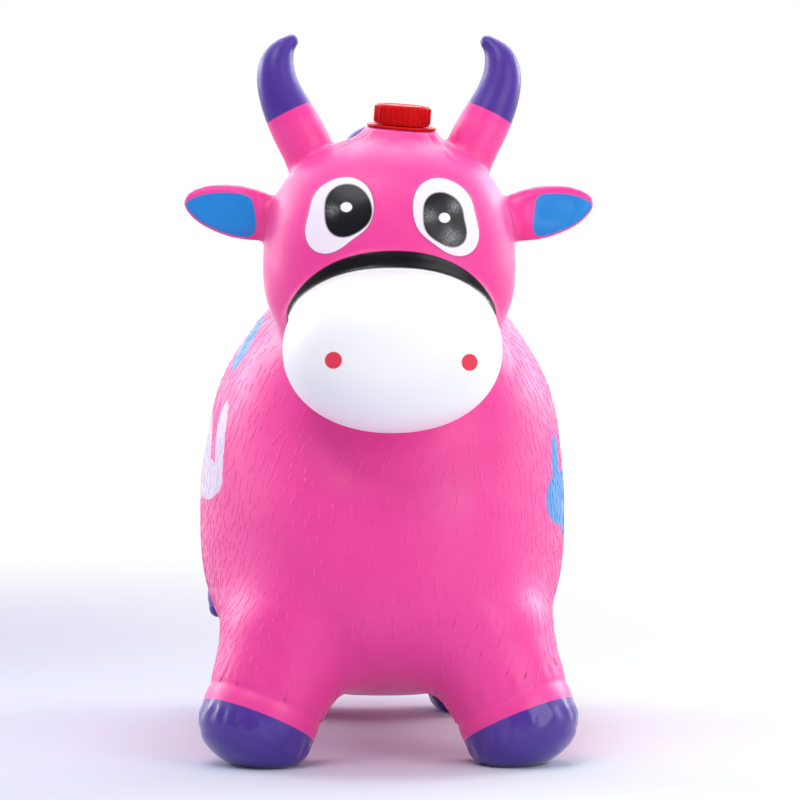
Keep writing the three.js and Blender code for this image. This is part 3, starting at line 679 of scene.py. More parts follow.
def earFront(points, normals, out):
    # level of the blue front of an ear, negative inside: all but a rim, from the root crease to the tip
    tip, root = mirrored(ear["tip"], out), mirrored(ear["root"], out)
    way, half = unitVector(tip - root), np.linalg.norm(tip - root) / 2
    offset = points - (tip + root) / 2
    s, high = np.clip(offset @ way / half, -1, 1), offset @ np.array((0, 0, 1))
    high = high - (offset @ way) * way[2]
    opening = np.sqrt(np.maximum(1 - np.abs(s) ** ear["bluntness"], 0))
    edge = profile(ear["halfHeight"])(s) * opening
    level = np.maximum(high + ear["rimTop"], -high + ear["rimBottom"]) - edge
    blueFrom = ear["blueFromLeft"] if out > 0 else ear["blueFromRight"]
    inner = blueFrom + 0.8 * np.sin(points[:, 2] / 5) - np.abs(points[:, 0])
    return np.where(normals[:, 1] < -0.05, -smoothUnion(-level, -inner, ear["blueCorner"]), unpainted)


# Parts of the skin: the four flexing pieces are cut off along mesh edges and closed

def pieceOfQuads():
    # 0 for the body, 1 and 2 for the horns, 3 and 4 for the ears
    centres = skinPoints[skinQuads].mean(1)
    owner = np.zeros(len(skinQuads), int)
    for number, (kind, out) in enumerate((("horn", 1), ("horn", -1), ("ear", 1), ("ear", -1)), 1):
        x, y, z = mirrored(centres, out).T
        if kind == "horn":
            beyond = (centres - mirrored(horn["root"], out)) @ hornWay(out) > horn["cutAt"]
            inside = beyond & (x > horn["cutOutside"]) & (z > horn["cutAbove"])
        else:
            level = (z > ear["cutAbove"]) & (z < ear["cutBelow"])
            inside = level & (x > ear["cutAt"]) & (y < ear["cutAhead"])
        owner[inside] = number
    return owner


def closedPiece(name, quads):
    # a mesh of its own with each open edge loop closed by a fan
    used, local = np.unique(quads, return_inverse=True)
    local = local.reshape(quads.shape)
    points, normals = skinPoints[used], skinNormals[used]
    sides = np.concatenate([local[:, (i, (i + 1) % 4)] for i in range(4)])
    known = {(a, b) for a, b in sides.tolist()}
    follow = {b: a for a, b in known if (b, a) not in known}
    faces = [tuple(q) for q in local.tolist()]
    extraPoints, extraNormals = [], []
    while follow:
        first = next(iter(follow))
        loop, at = [], first
        while at in follow:
            loop.append(at)
            at = follow.pop(at)
        hub = len(points) + len(extraPoints)
        extraPoints.append(points[loop].mean(0))
        extraNormals.append(unitVector(-normals[loop].mean(0) + 1e-6))
        faces += [(hub, loop[i], loop[(i + 1) % len(loop)]) for i in range(len(loop))]
    if extraPoints:
        points, normals = np.vstack([points, extraPoints]), np.vstack([normals, extraNormals])
        used = np.concatenate([used, np.full(len(extraPoints), used[0])])
    obj = makeObject(name, points * mm, faces)
    shadeSmooth(obj.data)
    obj.data.normals_split_custom_set_from_vertices([tuple(n) for n in normals])
    return obj, used


owners = pieceOfQuads()
skinPiece, skinUsed = closedPiece("skin", skinQuads[owners == 0])
flexPieces = {}
for number, name in enumerate(("hornLeft", "hornRight", "earLeft", "earRight"), 1):
    flexPieces[name] = closedPiece(name, skinQuads[owners == number])
print("skin split,", len(skinPiece.data.polygons), "faces in the body,",
      [len(p.data.polygons) for p, _ in flexPieces.values()], "in horns and ears")

for name, values in paintLevels.items():
    storeFloats(skinPiece.data, name, values[skinUsed] * mm)
storeFloats(skinPiece.data, "pupilSheen", pupilSheen(skinPoints[skinUsed]))
for name, (obj, used) in flexPieces.items():
    out = 1 if name.endswith("Left") else -1
    storeVectors(obj.data, "restPlace", skinPoints[used] * mm)
    if "horn" in name:
        storeFloats(obj.data, "tipPaint", -hornReach(skinPoints[used], out) * mm)
    else:
        storeFloats(obj.data, "earBlue", earFront(skinPoints[used], skinNormals[used], out) * mm)


# Node helpers

def plugIn(tree, socket, value):
    if isinstance(value, bpy.types.NodeSocket):
        tree.links.new(value, socket)
    else:
        socket.default_value = value


def fillSockets(tree, node, values):
    for key, value in values.items():
        plugIn(tree, node.inputs[key], value)


def addNode(tree, kind, sockets=None, **settings):
    # a node with its settings made and its inputs linked or set
    made = tree.nodes.new(kind)
    for key, value in settings.items():
        setattr(made, key, value)
    fillSockets(tree, made, sockets or {})
    return made


def maths(tree, operation, a, b=0.0, clamp=False):
    return addNode(tree, "ShaderNodeMath", {0: a, 1: b}, operation=operation, use_clamp=clamp).outputs[0]


def ramp(tree, value, low, high, toLow=0.0, toHigh=1.0):
    sockets = {0: value, 1: low, 2: high, 3: toLow, 4: toHigh}
    return addNode(tree, "ShaderNodeMapRange", sockets, interpolation_type="SMOOTHSTEP").outputs[0]


def mixColours(tree, factor, a, b):
    return addNode(tree, "ShaderNodeMix", {0: factor, 6: a, 7: b}, data_type="RGBA").outputs[2]


def noise(tree, place, scale, detail, roughness):
    sockets = {"Vector": place, "Scale": scale, "Detail": detail, "Roughness": roughness}
    return addNode(tree, "ShaderNodeTexNoise", sockets).outputs["Fac"]


def uneven(tree, place, grain, low=0.0, high=1.0):
    # a value that wanders between low and high; grain is the scale, detail and roughness of its noise
    return ramp(tree, noise(tree, place, *grain), 0.3, 0.7, low, high)


def objectPlace(tree):
    return addNode(tree, "ShaderNodeTexCoord").outputs["Object"]


def splitPlace(tree, place):
    return addNode(tree, "ShaderNodeSeparateXYZ", {0: place}).outputs


def lengthOf(tree, place):
    return addNode(tree, "ShaderNodeVectorMath", {0: place}, operation="LENGTH").outputs["Value"]


def shareOut(tree, place, centre, half):
    # distance from a centre as a share of the half-sizes, which are in millimetres
    sockets = {"Vector": place, "Location": [c * mm for c in centre], "Scale": [h * mm for h in half]}
    return lengthOf(tree, addNode(tree, "ShaderNodeMapping", sockets, vector_type="TEXTURE").outputs[0])


def ellipse(tree, place, centre, half):
    # level of an ellipse on the face, in metres, negative inside; centre and half-sizes are X and Z
    (x, z), (wide, high) = centre, half
    share = shareOut(tree, place, (x, 0, z), (wide, 1e9, high))
    return maths(tree, "MULTIPLY", maths(tree, "SUBTRACT", share, 1.0), min(half) * mm)


def painted(tree, level, edge):
    # 1 where the level is negative, with a soft edge in millimetres
    return ramp(tree, level, edge * mm, -edge * mm)


def floatAttribute(tree, name):
    return addNode(tree, "ShaderNodeAttribute", attribute_name=name).outputs["Fac"]


def paintedBy(tree, name, edge):
    return painted(tree, floatAttribute(tree, name), edge)


def addGrain(tree, shader, height, strength, distance):
    raised = addNode(tree, "ShaderNodeBump", {"Strength": strength, "Distance": distance, "Height": height})
    tree.links.new(raised.outputs[0], shader.inputs["Normal"])


def newMaterial(name):
    material = bpy.data.materials.new(name)
    material.use_nodes = True
    tree = material.node_tree
    return material, tree, tree.nodes["Principled BSDF"]


# Vinyl and its paint

colours = {
    "pink": (0.88, 0.052, 0.34, 1), "pinkDeep": (0.84, 0.043, 0.31, 1), "pinkPale": (0.91, 0.066, 0.37, 1),
    "purple": (0.085, 0.038, 0.33, 1), "purpleDeep": (0.060, 0.026, 0.26, 1),
    "blue": (0.018, 0.235, 0.66, 1), "white": (0.90, 0.90, 0.94, 1),
    "eyeWhite": (0.90, 0.81, 0.92, 1), "patchWhite": (0.73, 0.60, 0.80, 1),
    "black": (0.006, 0.005, 0.009, 1), "outline": (0.30, 0.05, 0.16, 1), "sheen": (0.42, 0.43, 0.46, 1),
    "nostril": (0.78, 0.025, 0.075, 1), "red": (0.62, 0.006, 0.009, 1), "redDeep": (0.56, 0.004, 0.006, 1),
}
vinyl = {
    # scale, detail and roughness of each noise
    "mottle": (22, 3, 0.6), "cloud": (7, 2, 0.5), "grain": (900, 2, 0.6), "spray": (25, 1, 0.5),
    "satin": (55, 1, 0.5), "pieceSatin": (55, 3, 0.6), "speckle": (1500, 2, 0.7), "wander": (16, 1, 0.5),
    "cloudShare": 0.6, "grainStrength": 0.06, "grainHeight": 0.0004, "sheen": 0.25, "sheenRoughness": 0.3,
    "roughness": (0.36, 0.46), "specular": 0.45, "sprayedShare": 0.55,
    "glossShare": 0.6, "glossSpecular": 0.24,
    "flexRoughness": (0.28, 0.37), "flexSpecular": 0.24, "flexSheen": 0.1,
    "patchWander": 0.5, "patchEdge": (1.26, 1.23),
}


def vinylBase(tree, place, shader):
    # pink vinyl with faint mottling, and the fine grain of the mould
    colour = mixColours(tree, uneven(tree, place, vinyl["mottle"]), colours["pinkDeep"], colours["pink"])
    cloud = ramp(tree, noise(tree, place, *vinyl["cloud"]), 0.45, 0.8, 0, vinyl["cloudShare"])
    colour = mixColours(tree, cloud, colour, colours["pinkPale"])
    grain = noise(tree, place, *vinyl["grain"])
    addGrain(tree, shader, grain, vinyl["grainStrength"], vinyl["grainHeight"])
    fillSockets(tree, shader, {"Sheen Weight": vinyl["sheen"], "Sheen Roughness": vinyl["sheenRoughness"]})
    return colour


def sprayPurple(tree, place):
    return mixColours(tree, noise(tree, place, *vinyl["spray"]), colours["purpleDeep"], colours["purple"])


def sprayBlue(tree, place):
    return colours["blue"]


patches = (
    {"centre": (-116, -117, 218), "half": (45, 9, 33), "colour": "patchWhite"},
    {"centre": (-128, -86, 195), "half": (50, 42, 15), "colour": "patchWhite"},
    {"centre": (-128, -82, 214), "half": (50, 16, 28), "colour": "patchWhite"},
    {"centre": (-130, -36, 208), "half": (60, 50, 34), "colour": "patchWhite"},
    {"centre": (122, -103, 181), "half": (50, 29, 19), "colour": "blue"},
    {"centre": (118, -111, 207), "half": (50, 10, 19), "colour": "blue"},
    {"centre": (130, -58, 180), "half": (60, 56, 27), "colour": "blue"},
    {"centre": (-101, -104, 292), "half": (40, 11, 20), "colour": "blue"},
    {"centre": (60, 150, 300), "half": (58, 62, 60), "colour": "patchWhite"},
    {"centre": (-95, 175, 235), "half": (60, 60, 42), "colour": "blue"},
)


def patchPaint(tree, place, colour):
    # sprayed patches on the flanks and the back, with wandering edges
    wander = maths(tree, "MULTIPLY", noise(tree, place, *vinyl["wander"]), vinyl["patchWander"])
    for patch in patches:
        level = maths(tree, "ADD", shareOut(tree, place, patch["centre"], patch["half"]), wander)
        colour = mixColours(tree, ramp(tree, level, *vinyl["patchEdge"]), colour, colours[patch["colour"]])
    return colour


def skinMaterial():
    material, tree, shader = newMaterial("cowVinyl")
    place = objectPlace(tree)
    colour = patchPaint(tree, place, vinylBase(tree, place, shader))

    # noseband, muzzle and nostrils
    band, muzzle = paintedBy(tree, "bandPaint", 0.5), paintedBy(tree, "muzzlePaint", 0.5)
    colour = mixColours(tree, band, colour, colours["black"])
    colour = mixColours(tree, muzzle, colour, colours["white"])
    onFace = maths(tree, "LESS_THAN", splitPlace(tree, place)["Y"], face["front"] * mm)

    def addSpots(colour, centres, half, paint):
        for centre in centres:
            covered = painted(tree, ellipse(tree, place, centre, half), 0.4)
            colour = mixColours(tree, maths(tree, "MULTIPLY", covered, onFace), colour, paint)
        return colour

    colour = addSpots(colour, face["nostrils"], face["nostrilHalf"], colours["nostril"])

    # eyes: outlined white, soft-edged pupil and glint
    white = floatAttribute(tree, "eyeWhite")
    outline = painted(tree, maths(tree, "SUBTRACT", white, face["eyeOutline"] * mm), 0.5)
    outline = maths(tree, "MULTIPLY", outline, face["outlineShare"])
    colour = mixColours(tree, outline, colour, colours["outline"])
    colour = mixColours(tree, painted(tree, white, 0.4), colour, colours["eyeWhite"])
    pupil = paintedBy(tree, "pupilPaint", 0.8)
    # painted reflection: the pupils' black turns grey along the sweeps round each glint
    speckle = ramp(tree, noise(tree, place, *vinyl["speckle"]), 0.35, 0.7)
    sheen = maths(tree, "MULTIPLY", floatAttribute(tree, "pupilSheen"), speckle)
    colour = mixColours(tree, pupil, colour, mixColours(tree, sheen, colours["black"], colours["sheen"]))
    colour = addSpots(colour, face["glints"], face["glintHalf"], colours["white"])

    # hooves, mane and tail tuft
    purple = sprayPurple(tree, place)
    sprayed = 0.0
    for name in ("hoofPaint", "manePaint", "tuftPaint"):
        covered = paintedBy(tree, name, 0.5)
        colour = mixColours(tree, covered, colour, purple)
        sprayed = maths(tree, "MAXIMUM", covered, sprayed)

    # the black and purple paints are glossier than the vinyl
    gloss = maths(tree, "MAXIMUM", maths(tree, "SUBTRACT", band, muzzle, True), pupil)
    satin = uneven(tree, place, vinyl["satin"], *vinyl["roughness"])
    satin = maths(tree, "MULTIPLY", satin, ramp(tree, sprayed, 0, 1, 1.0, vinyl["sprayedShare"]))
    fillSockets(tree, shader, {
        "Base Color": colour,
        "Roughness": maths(tree, "MULTIPLY", satin, ramp(tree, gloss, 0, 1, 1.0, vinyl["glossShare"])),
        "Specular IOR Level": ramp(tree, gloss, 0, 1, vinyl["specular"], vinyl["glossSpecular"]),
    })
    return material


def flexMaterial(name, level, edge, paint):
    # horns and ears are pieces of their own, and their patterns read the place stored at rest
    material, tree, shader = newMaterial(name)
    rest = addNode(tree, "ShaderNodeAttribute", attribute_name="restPlace").outputs["Vector"]
    colour = vinylBase(tree, rest, shader)
    fillSockets(tree, shader, {
        "Base Color": mixColours(tree, paintedBy(tree, level, edge), colour, paint(tree, rest)),
        "Roughness": uneven(tree, rest, vinyl["pieceSatin"], *vinyl["flexRoughness"]),
        "Specular IOR Level": vinyl["flexSpecular"], "Sheen Weight": vinyl["flexSheen"],
    })
    return material


giveMaterial(skinPiece, skinMaterial())
hornMaterial = flexMaterial("hornVinyl", "tipPaint", 0.4, sprayPurple)
earMaterial = flexMaterial("earVinyl", "earBlue", 0.5, sprayBlue)
for name, (obj, _) in flexPieces.items():
    giveMaterial(obj, hornMaterial if "horn" in name else earMaterial)
print("skin painted")


# Geometry Nodes helpers

def newTree(name, **inputs):
    # a tree with geometry in and out and the named inputs
    tree = bpy.data.node_groups.new(name, "GeometryNodeTree")
    for socket, kind in {"Geometry": "Geometry", **inputs}.items():
        tree.interface.new_socket(socket, in_out="INPUT", socket_type="NodeSocket" + kind)
    tree.interface.new_socket("Geometry", in_out="OUTPUT", socket_type="NodeSocketGeometry")
    return tree, addNode(tree, "NodeGroupInput").outputs


def placeCopies(tree, shape, material, sockets):
    # copies of a shape on points, made real and given their material
    single = addNode(tree, "GeometryNodeObjectInfo", {"Object": shape, "As Instance": True})
    copies = addNode(tree, "GeometryNodeInstanceOnPoints", sockets)
    plugIn(tree, copies.inputs["Instance"], single.outputs["Geometry"])
    real = addNode(tree, "GeometryNodeRealizeInstances", {0: copies.outputs[0]})
    finish = addNode(tree, "GeometryNodeSetMaterial", {"Geometry": real.outputs[0], "Material": material})
    addNode(tree, "NodeGroupOutput", {"Geometry": finish.outputs[0]})


def runTree(name, carrier, tree, values):
    # the tree's result on a copy of the carrier, as a plain mesh
    copy = linkObject(name + "Carrier", carrier.data.copy())
    modifier = copy.modifiers.new("nodes", "NODES")
    modifier.node_group = tree
    for item in tree.interface.items_tree:
        if item.in_out == "INPUT" and item.name in values:
            modifier[item.identifier] = values[item.name]
    graph = bpy.context.evaluated_depsgraph_get()
    mesh = bpy.data.meshes.new_from_object(copy.evaluated_get(graph))
    mesh.name = name
    copy.modifiers.clear()
    bpy.data.objects.remove(copy)
    return linkObject(name, mesh)


# Fur strokes: short raised hairs of the mould, laid along the flow by Geometry Nodes

fur = {
    "spacing": 0.0054, "density": 52000, "length": 0.0150, "width": 0.0024, "height": 0.00034, "seed": 7,
    "shortest": 0.6, "longest": 1.25, "jitter": 0.16,  # shares of the length, and a turn either way
    # flow, with the slopes of the surface at which it turns
    "topSlope": (0.25, 0.8), "frontSlope": (0.2, 0.8), "sway": 0.25, "swayX": 37, "swayZ": 53,
    "lean": -0.2, "sweepBack": 0.5, "backDrop": -0.15,
    "outLow": -0.12, "outGain": 0.9, "outHeights": (160, 290), "outHalf": 40,
    # cover, from bare to full by the distance from each smooth zone
    "head": (5, 12), "cuff": (4, 9), "tail": (4, 8), "plug": (16, 24), "unit": (45, 55),
    "bellySlope": (-0.85, -0.5), "chestSlope": (0.35, 0.75), "chestHalf": (100, 50), "chestThinning": 0.55,
}


def furFlow(points, normals):
    # down the sides and the legs, and back along the top
    x, _, z = points.T
    top = smoothStep(*fur["topSlope"], normals[:, 2])[:, None]
    chest = smoothStep(*fur["frontSlope"], -normals[:, 1])
    sway = np.sin(x / fur["swayX"] + 1.3) * np.sin(z / fur["swayZ"]) * fur["sway"]
    outward = fur["outLow"] + fur["outGain"] * smoothStep(*fur["outHeights"], z)
    spread = outward * np.clip(x / fur["outHalf"], -1, 1) + fur["lean"]
    ones = np.ones(len(x))
    down = np.stack([spread + sway, fur["sweepBack"] * (1 - chest), -ones], 1)
    back = np.stack([sway, ones, fur["backDrop"] * ones], 1)
    flow = down * (1 - top) + back * top
    flow -= normals * (flow * normals).sum(1)[:, None]
    return flow / np.maximum(np.linalg.norm(flow, axis=1), 1e-6)[:, None]


def furCover(points, normals):
    # 1 on torso, neck and legs, sparse mid-chest, 0 on head, hooves, cuffs, tail, plug and unit
    smooth = ("head", "muzzle", "mane", "horn1", "horn-1", "ear1", "ear-1")
    distances = {
        "head": np.min([formLevel(n, points) for n in smooth], axis=0),
        "cuff": legHeights(points) - leg["hoofHeight"] - leg["creaseAbove"],
        "tail": np.minimum(formLevel("tail", points), formLevel("tuft", points)),
        "plug": np.linalg.norm(points - plug["place"], axis=1),
        "unit": np.linalg.norm(points - unit["place"], axis=1),
    }
    cover = smoothStep(*fur["bellySlope"], normals[:, 2])
    for name, distance in distances.items():
        cover *= smoothStep(*fur[name], distance)
    chest = smoothStep(*fur["chestSlope"], -normals[:, 1])
    chest *= smoothStep(*fur["chestHalf"], np.abs(points[:, 0]))
    return cover * (1 - fur["chestThinning"] * chest)


def strokeShape():
    # a tapered ridge of unit length, width and height, lying along X
    stations = ((-0.5, 0), (-0.18, 1), (0.2, 0.8), (0.5, 0))
    points, faces = [], []
    for x, share in stations:
        if share:
            points += [(x, -share / 2, -1), (x, 0, share), (x, share / 2, -1)]
        else:
            points.append((x, 0, -1.2))
    faces += [(0, 2, 1), (0, 3, 2), (0, 1, 3)]
    faces += [(1, 2, 5, 4), (2, 3, 6, 5), (3, 1, 4, 6)]
    faces += [(4, 5, 7), (5, 6, 7), (6, 4, 7)]
    obj = makeObject("strokeShape", points, faces)
    underside = (2, 5, 8)
    obj.data.polygons.foreach_set("use_smooth", [i not in underside for i in range(len(faces))])
    return obj


def furTree(shape, material):
    tree, start = newTree("furStrokes", Spacing="Float", Density="Float", Length="Float", Width="Float",
                          Height="Float", Seed="Int")

    def attribute(name, kind):
        made = addNode(tree, "GeometryNodeInputNamedAttribute", {"Name": name}, data_type=kind)
        return made.outputs["Attribute"]

    def aligned(sockets, **axes):
        return addNode(tree, "FunctionNodeAlignRotationToVector", sockets, **axes).outputs[0]

    def randomValue(sockets):
        return addNode(tree, "FunctionNodeRandomValue", sockets, data_type="FLOAT").outputs[1]

    cover, flow = attribute("furCover", "FLOAT"), attribute("furFlow", "FLOAT_VECTOR")
    scatter = addNode(tree, "GeometryNodeDistributePointsOnFaces", distribute_method="POISSON")
    fillSockets(tree, scatter, {
        "Mesh": start["Geometry"], "Distance Min": start["Spacing"], "Density Max": start["Density"],
        "Density Factor": cover, "Seed": start["Seed"],
    })
    standing = aligned({"Vector": scatter.outputs["Normal"]}, axis="Z")
    lying = aligned({"Rotation": standing, "Vector": flow}, axis="X", pivot_axis="Z")
    jitter = randomValue({2: -fur["jitter"], 3: fur["jitter"], "Seed": start["Seed"]})
    twist = addNode(tree, "FunctionNodeAxisAngleToRotation", {"Axis": (0, 0, 1), "Angle": jitter})
    turns = {0: lying, 1: twist.outputs[0]}
    turned = addNode(tree, "FunctionNodeRotateRotation", turns, rotation_space="LOCAL")
    length = maths(tree, "MULTIPLY", start["Length"], randomValue({2: fur["shortest"], 3: fur["longest"]}))
    size = addNode(tree, "ShaderNodeCombineXYZ", {"X": length, "Y": start["Width"], "Z": start["Height"]})
    placeCopies(tree, shape, material, {
        "Points": scatter.outputs["Points"], "Rotation": turned.outputs[0], "Scale": size.outputs[0],
    })
    return tree


def furMaterial():
    material, tree, shader = newMaterial("furVinyl")
    place = objectPlace(tree)
    fillSockets(tree, shader, {
        "Base Color": patchPaint(tree, place, vinylBase(tree, place, shader)),
        "Roughness": uneven(tree, place, vinyl["pieceSatin"], *vinyl["roughness"]),
    })
    return material


bodyPoints, bodyNormals = skinPoints[skinUsed], skinNormals[skinUsed]
storeFloats(skinPiece.data, "furCover", furCover(bodyPoints, bodyNormals))
storeVectors(skinPiece.data, "furFlow", furFlow(bodyPoints, bodyNormals))
shape = strokeShape()
furSizes = {name: fur[name.lower()] for name in ("Spacing", "Density", "Length", "Width", "Height", "Seed")}
furPiece = runTree("furStrokes", skinPiece, furTree(shape, furMaterial()), furSizes)
bpy.data.objects.remove(shape)
print("fur strokes,", len(furPiece.data.polygons), "faces")


# Red screw cap, flange and cup, turned on the unit's axis

def turnedPiece(name, outline, segments, matrix):
    # outline points are radius and height in millimetres, from the axis round the section to the axis
    points, rings, faces = [], [], []
    for radius, height in outline:
        count = segments if radius > 1e-6 else 1
        rings.append(range(len(points), len(points) + count))
        turns = [2 * math.pi * i / count for i in range(count)]
        points += [(radius * math.cos(a) * mm, radius * math.sin(a) * mm, height * mm) for a in turns]
    for low, high in zip(rings[:-1], rings[1:]):
        for i in range(segments):
            j = (i + 1) % segments
            corners = [low[i % len(low)], low[j % len(low)], high[j % len(high)], high[i % len(high)]]
            faces.append(tuple(dict.fromkeys(corners)))
    obj = makeObject(name, points, faces)
    turnFacesOut(obj.data)
    obj.data.transform(matrix)
    return obj


def rounded(points, radius, steps=4):
    # an outline with each inner corner rounded
    out = [points[0]]
    for before, corner, after in zip(points[:-2], points[1:-1], points[2:]):
        before, corner, after = (np.array(p, float) for p in (before, corner, after))
        inWay, outWay = before - corner, after - corner
        reach = min(radius, np.linalg.norm(inWay) * 0.45, np.linalg.norm(outWay) * 0.45)
        a, b = corner + unitVector(inWay) * reach, corner + unitVector(outWay) * reach
        for t in np.linspace(0, 1, steps + 1):
            out.append(tuple((1 - t) ** 2 * a + 2 * t * (1 - t) * corner + t ** 2 * b))
    return [*out, points[-1]]


cap = {
    "bottom": 2.3, "top": 15.8, "radius": 18.65, "bore": 17.1, "ceiling": 14.0, "edge": 1.3, "segments": 96,
    "rim": 3.2, "dishFrom": 3.8, "dishDepth": 0.5, "dishMiddle": 0.3,
    "ribCount": 32, "ribHeight": 0.75, "ribWidth": 1.7, "ribBottom": 3.4, "ribTop": 14.4, "ribEnd": 0.8,
    "roughness": (0.36, 0.44), "specular": 0.07,
}


def redMaterial():
    material, tree, shader = newMaterial("redPlastic")
    place = objectPlace(tree)
    fillSockets(tree, shader, {
        "Base Color": mixColours(tree, uneven(tree, place, (90, 3, 0.6)), colours["redDeep"], colours["red"]),
        "Roughness": ramp(tree, noise(tree, place, 240, 3, 0.6), 0.3, 0.75, *cap["roughness"]),
        "Specular IOR Level": cap["specular"],
    })
    addGrain(tree, shader, noise(tree, place, 500, 2, 0.5), 0.02, 0.0002)
    return material


redPlastic = redMaterial()
capOutline = rounded([
    (0, cap["ceiling"]), (cap["bore"], cap["ceiling"]), (cap["bore"], cap["bottom"]),
    (cap["radius"], cap["bottom"]), (cap["radius"], cap["top"] - cap["edge"]),
    (cap["radius"] - cap["edge"], cap["top"]), (cap["radius"] - cap["rim"], cap["top"]),
    (cap["radius"] - cap["dishFrom"], cap["top"] - cap["dishDepth"]), (0, cap["top"] - cap["dishMiddle"]),
], 0.5)
capBody = turnedPiece("screwCapShell", capOutline, cap["segments"], unitMatrix)
giveMaterial(capBody, redPlastic)


def ribShape():
    # one upright grip rib with rounded ends, standing on the cap's wall
    width, height = cap["ribWidth"], cap["ribHeight"]
    low, high, end = cap["ribBottom"], cap["ribTop"], cap["ribEnd"]
    section = [(-0.3, -width / 2), (0.55 * height, -width * 0.36), (height, 0),
               (0.55 * height, width * 0.36), (-0.3, width / 2)]
    points, faces = [], []
    for z, share in ((low, 0.35), (low + end, 1), (high - end, 1), (high, 0.35)):
        points += [(cap["radius"] + out * (share if out > 0 else 1), y * (0.6 + 0.4 * share), z)
                   for out, y in section]
    for row in range(3):
        for i in range(5):
            a, b = row * 5 + i, row * 5 + (i + 1) % 5
            faces.append((a, b, b + 5, a + 5))
    faces += [(4, 3, 2, 1, 0), (15, 16, 17, 18, 19)]
    obj = makeObject("ribShape", np.array(points) * mm, faces)
    turnFacesOut(obj.data)
    return obj


def ribTree(shape, material):
    # copies of the rib round the axis
    tree, start = newTree("capRibs", Count="Int")
    stops = {"Count": start["Count"], "Offset": (0, 0, 0)}
    line = addNode(tree, "GeometryNodeMeshLine", stops, mode="OFFSET")
    step = maths(tree, "DIVIDE", 2 * math.pi, start["Count"])
    angle = maths(tree, "MULTIPLY", addNode(tree, "GeometryNodeInputIndex").outputs[0], step)
    turn = addNode(tree, "FunctionNodeAxisAngleToRotation", {"Axis": (0, 0, 1), "Angle": angle})
    placeCopies(tree, shape, material, {"Points": line.outputs[0], "Rotation": turn.outputs[0]})
    return tree


shape = ribShape()
capRibs = runTree("screwCapRibs", shape, ribTree(shape, redPlastic), {"Count": cap["ribCount"]})
capRibs.data.transform(unitMatrix)
bpy.data.objects.remove(shape)

cup = {
    "flange": 23.8, "flangeTop": 2.0, "bore": 14.0, "wall": 1.6, "depth": 18.0, "neckTop": 12.0, "floor": 1.6,
}
cupWall = cup["bore"] + cup["wall"]
cupPiece = turnedPiece("unitCup", rounded([
    (0, -cup["depth"]), (cupWall, -cup["depth"]), (cupWall, 0),
    (cup["flange"] - 0.6, 0.02), (cup["flange"], 0.6),
    (cup["flange"] - 0.3, cup["flangeTop"] - 0.3), (cup["flange"] - 1.8, cup["flangeTop"]),
    (cup["flange"] - 2.6, cup["flangeTop"] - 0.5), (cupWall, cup["flangeTop"] - 0.5),
    (cupWall, cup["neckTop"]), (cup["bore"], cup["neckTop"]),
    (cup["bore"], -cup["depth"] + cup["floor"]), (0, -cup["depth"] + cup["floor"]),
], 0.35), cap["segments"], unitMatrix)
giveMaterial(cupPiece, redPlastic)
print("screw cap and unit cup turned")


# Air plug in the rump, and the inner unit's CAD nodes with their own finishes

def plainFinish(name, dark, light, roughness, scale, metallic=0.0):
    material, tree, shader = newMaterial(name)
    place = objectPlace(tree)
    fillSockets(tree, shader, {
        "Base Color": mixColours(tree, uneven(tree, place, (scale, 3, 0.6)), (*dark, 1), (*light, 1)),
        "Roughness": uneven(tree, place, (scale * 3, 3, 0.6), roughness * 0.85, roughness * 1.15),
        "Metallic": metallic,
    })
    addGrain(tree, shader, noise(tree, place, scale * 6, 2, 0.5), 0.08, 0.0003)
    return material


plugMaterial = plainFinish("plugPlastic", (0.74, 0.72, 0.76), (0.84, 0.82, 0.86), 0.4, 120)
plugMatrix = Matrix.Translation(Vector(plug["place"]) * mm) @ Euler((-math.pi / 2, 0, 0)).to_matrix().to_4x4()
plugPiece = turnedPiece("airPlug", rounded(plug["outline"], plug["rounding"]), plug["segments"], plugMatrix)
giveMaterial(plugPiece, plugMaterial)

foam = plainFinish("linerFoam", (0.60, 0.60, 0.57), (0.74, 0.74, 0.71), 0.8, 700)
holder = plainFinish("holderPlastic", (0.68, 0.65, 0.56), (0.78, 0.75, 0.66), 0.5, 300)
board = plainFinish("boardLaminate", (0.010, 0.11, 0.032), (0.018, 0.17, 0.052), 0.35, 500)
lens = plainFinish("clearLens", (0.82, 0.82, 0.80), (0.92, 0.92, 0.90), 0.15, 400)
steel = plainFinish("cellSteel", (0.42, 0.43, 0.45), (0.56, 0.57, 0.59), 0.3, 600, 1.0)
brass = plainFinish("contactBrass", (0.50, 0.30, 0.07), (0.68, 0.43, 0.11), 0.32, 600, 1.0)
innerFinish = {
    "cap_liner": foam, "battery_holder": holder, "circuit_board": board, "led_left": lens, "led_right": lens,
    "contact_strip_upper": brass, "contact_strip_lower": brass, "sounder": brass,
    "cell_1": steel, "cell_2": steel, "cell_3": steel, "shake_spring": steel, "shake_pin": steel,
    "board_screw_1": steel, "board_screw_2": steel,
}
for name, material in innerFinish.items():
    giveMaterial(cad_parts[name], material)


# Pieces to bodies

skinNodes = ["torso", "neck", "head", "muzzle", "mane", "tail", "tail_tuft"]
for place in ("front_left", "front_right", "rear_left", "rear_right"):
    skinNodes += ["leg_" + place, "hoof_" + place]
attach(skinPiece, "skin")
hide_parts(*skinNodes)
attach(furPiece, "skin")
for side, out in (("left", 1), ("right", -1)):
    name = side.capitalize()
    hornPiece, earPiece = flexPieces["horn" + name][0], flexPieces["ear" + name][0]
    root, way = mirrored(horn["root"], out), hornWay(out)
    start, end = root + way * (horn["cutAt"] + 1), root + way * (horn["cutAt"] + horn["bendOver"])
    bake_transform(hornPiece)
    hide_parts("horn_" + side, "horn_tip_" + side)
    start = mirrored((ear["cutAt"] + 1, ear["root"][1], ear["root"][2]), out)
    end = start + np.array((out * ear["bendOver"], 0, 0))
    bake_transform(earPiece)
    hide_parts("ear_" + side)
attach(capBody, "cap")
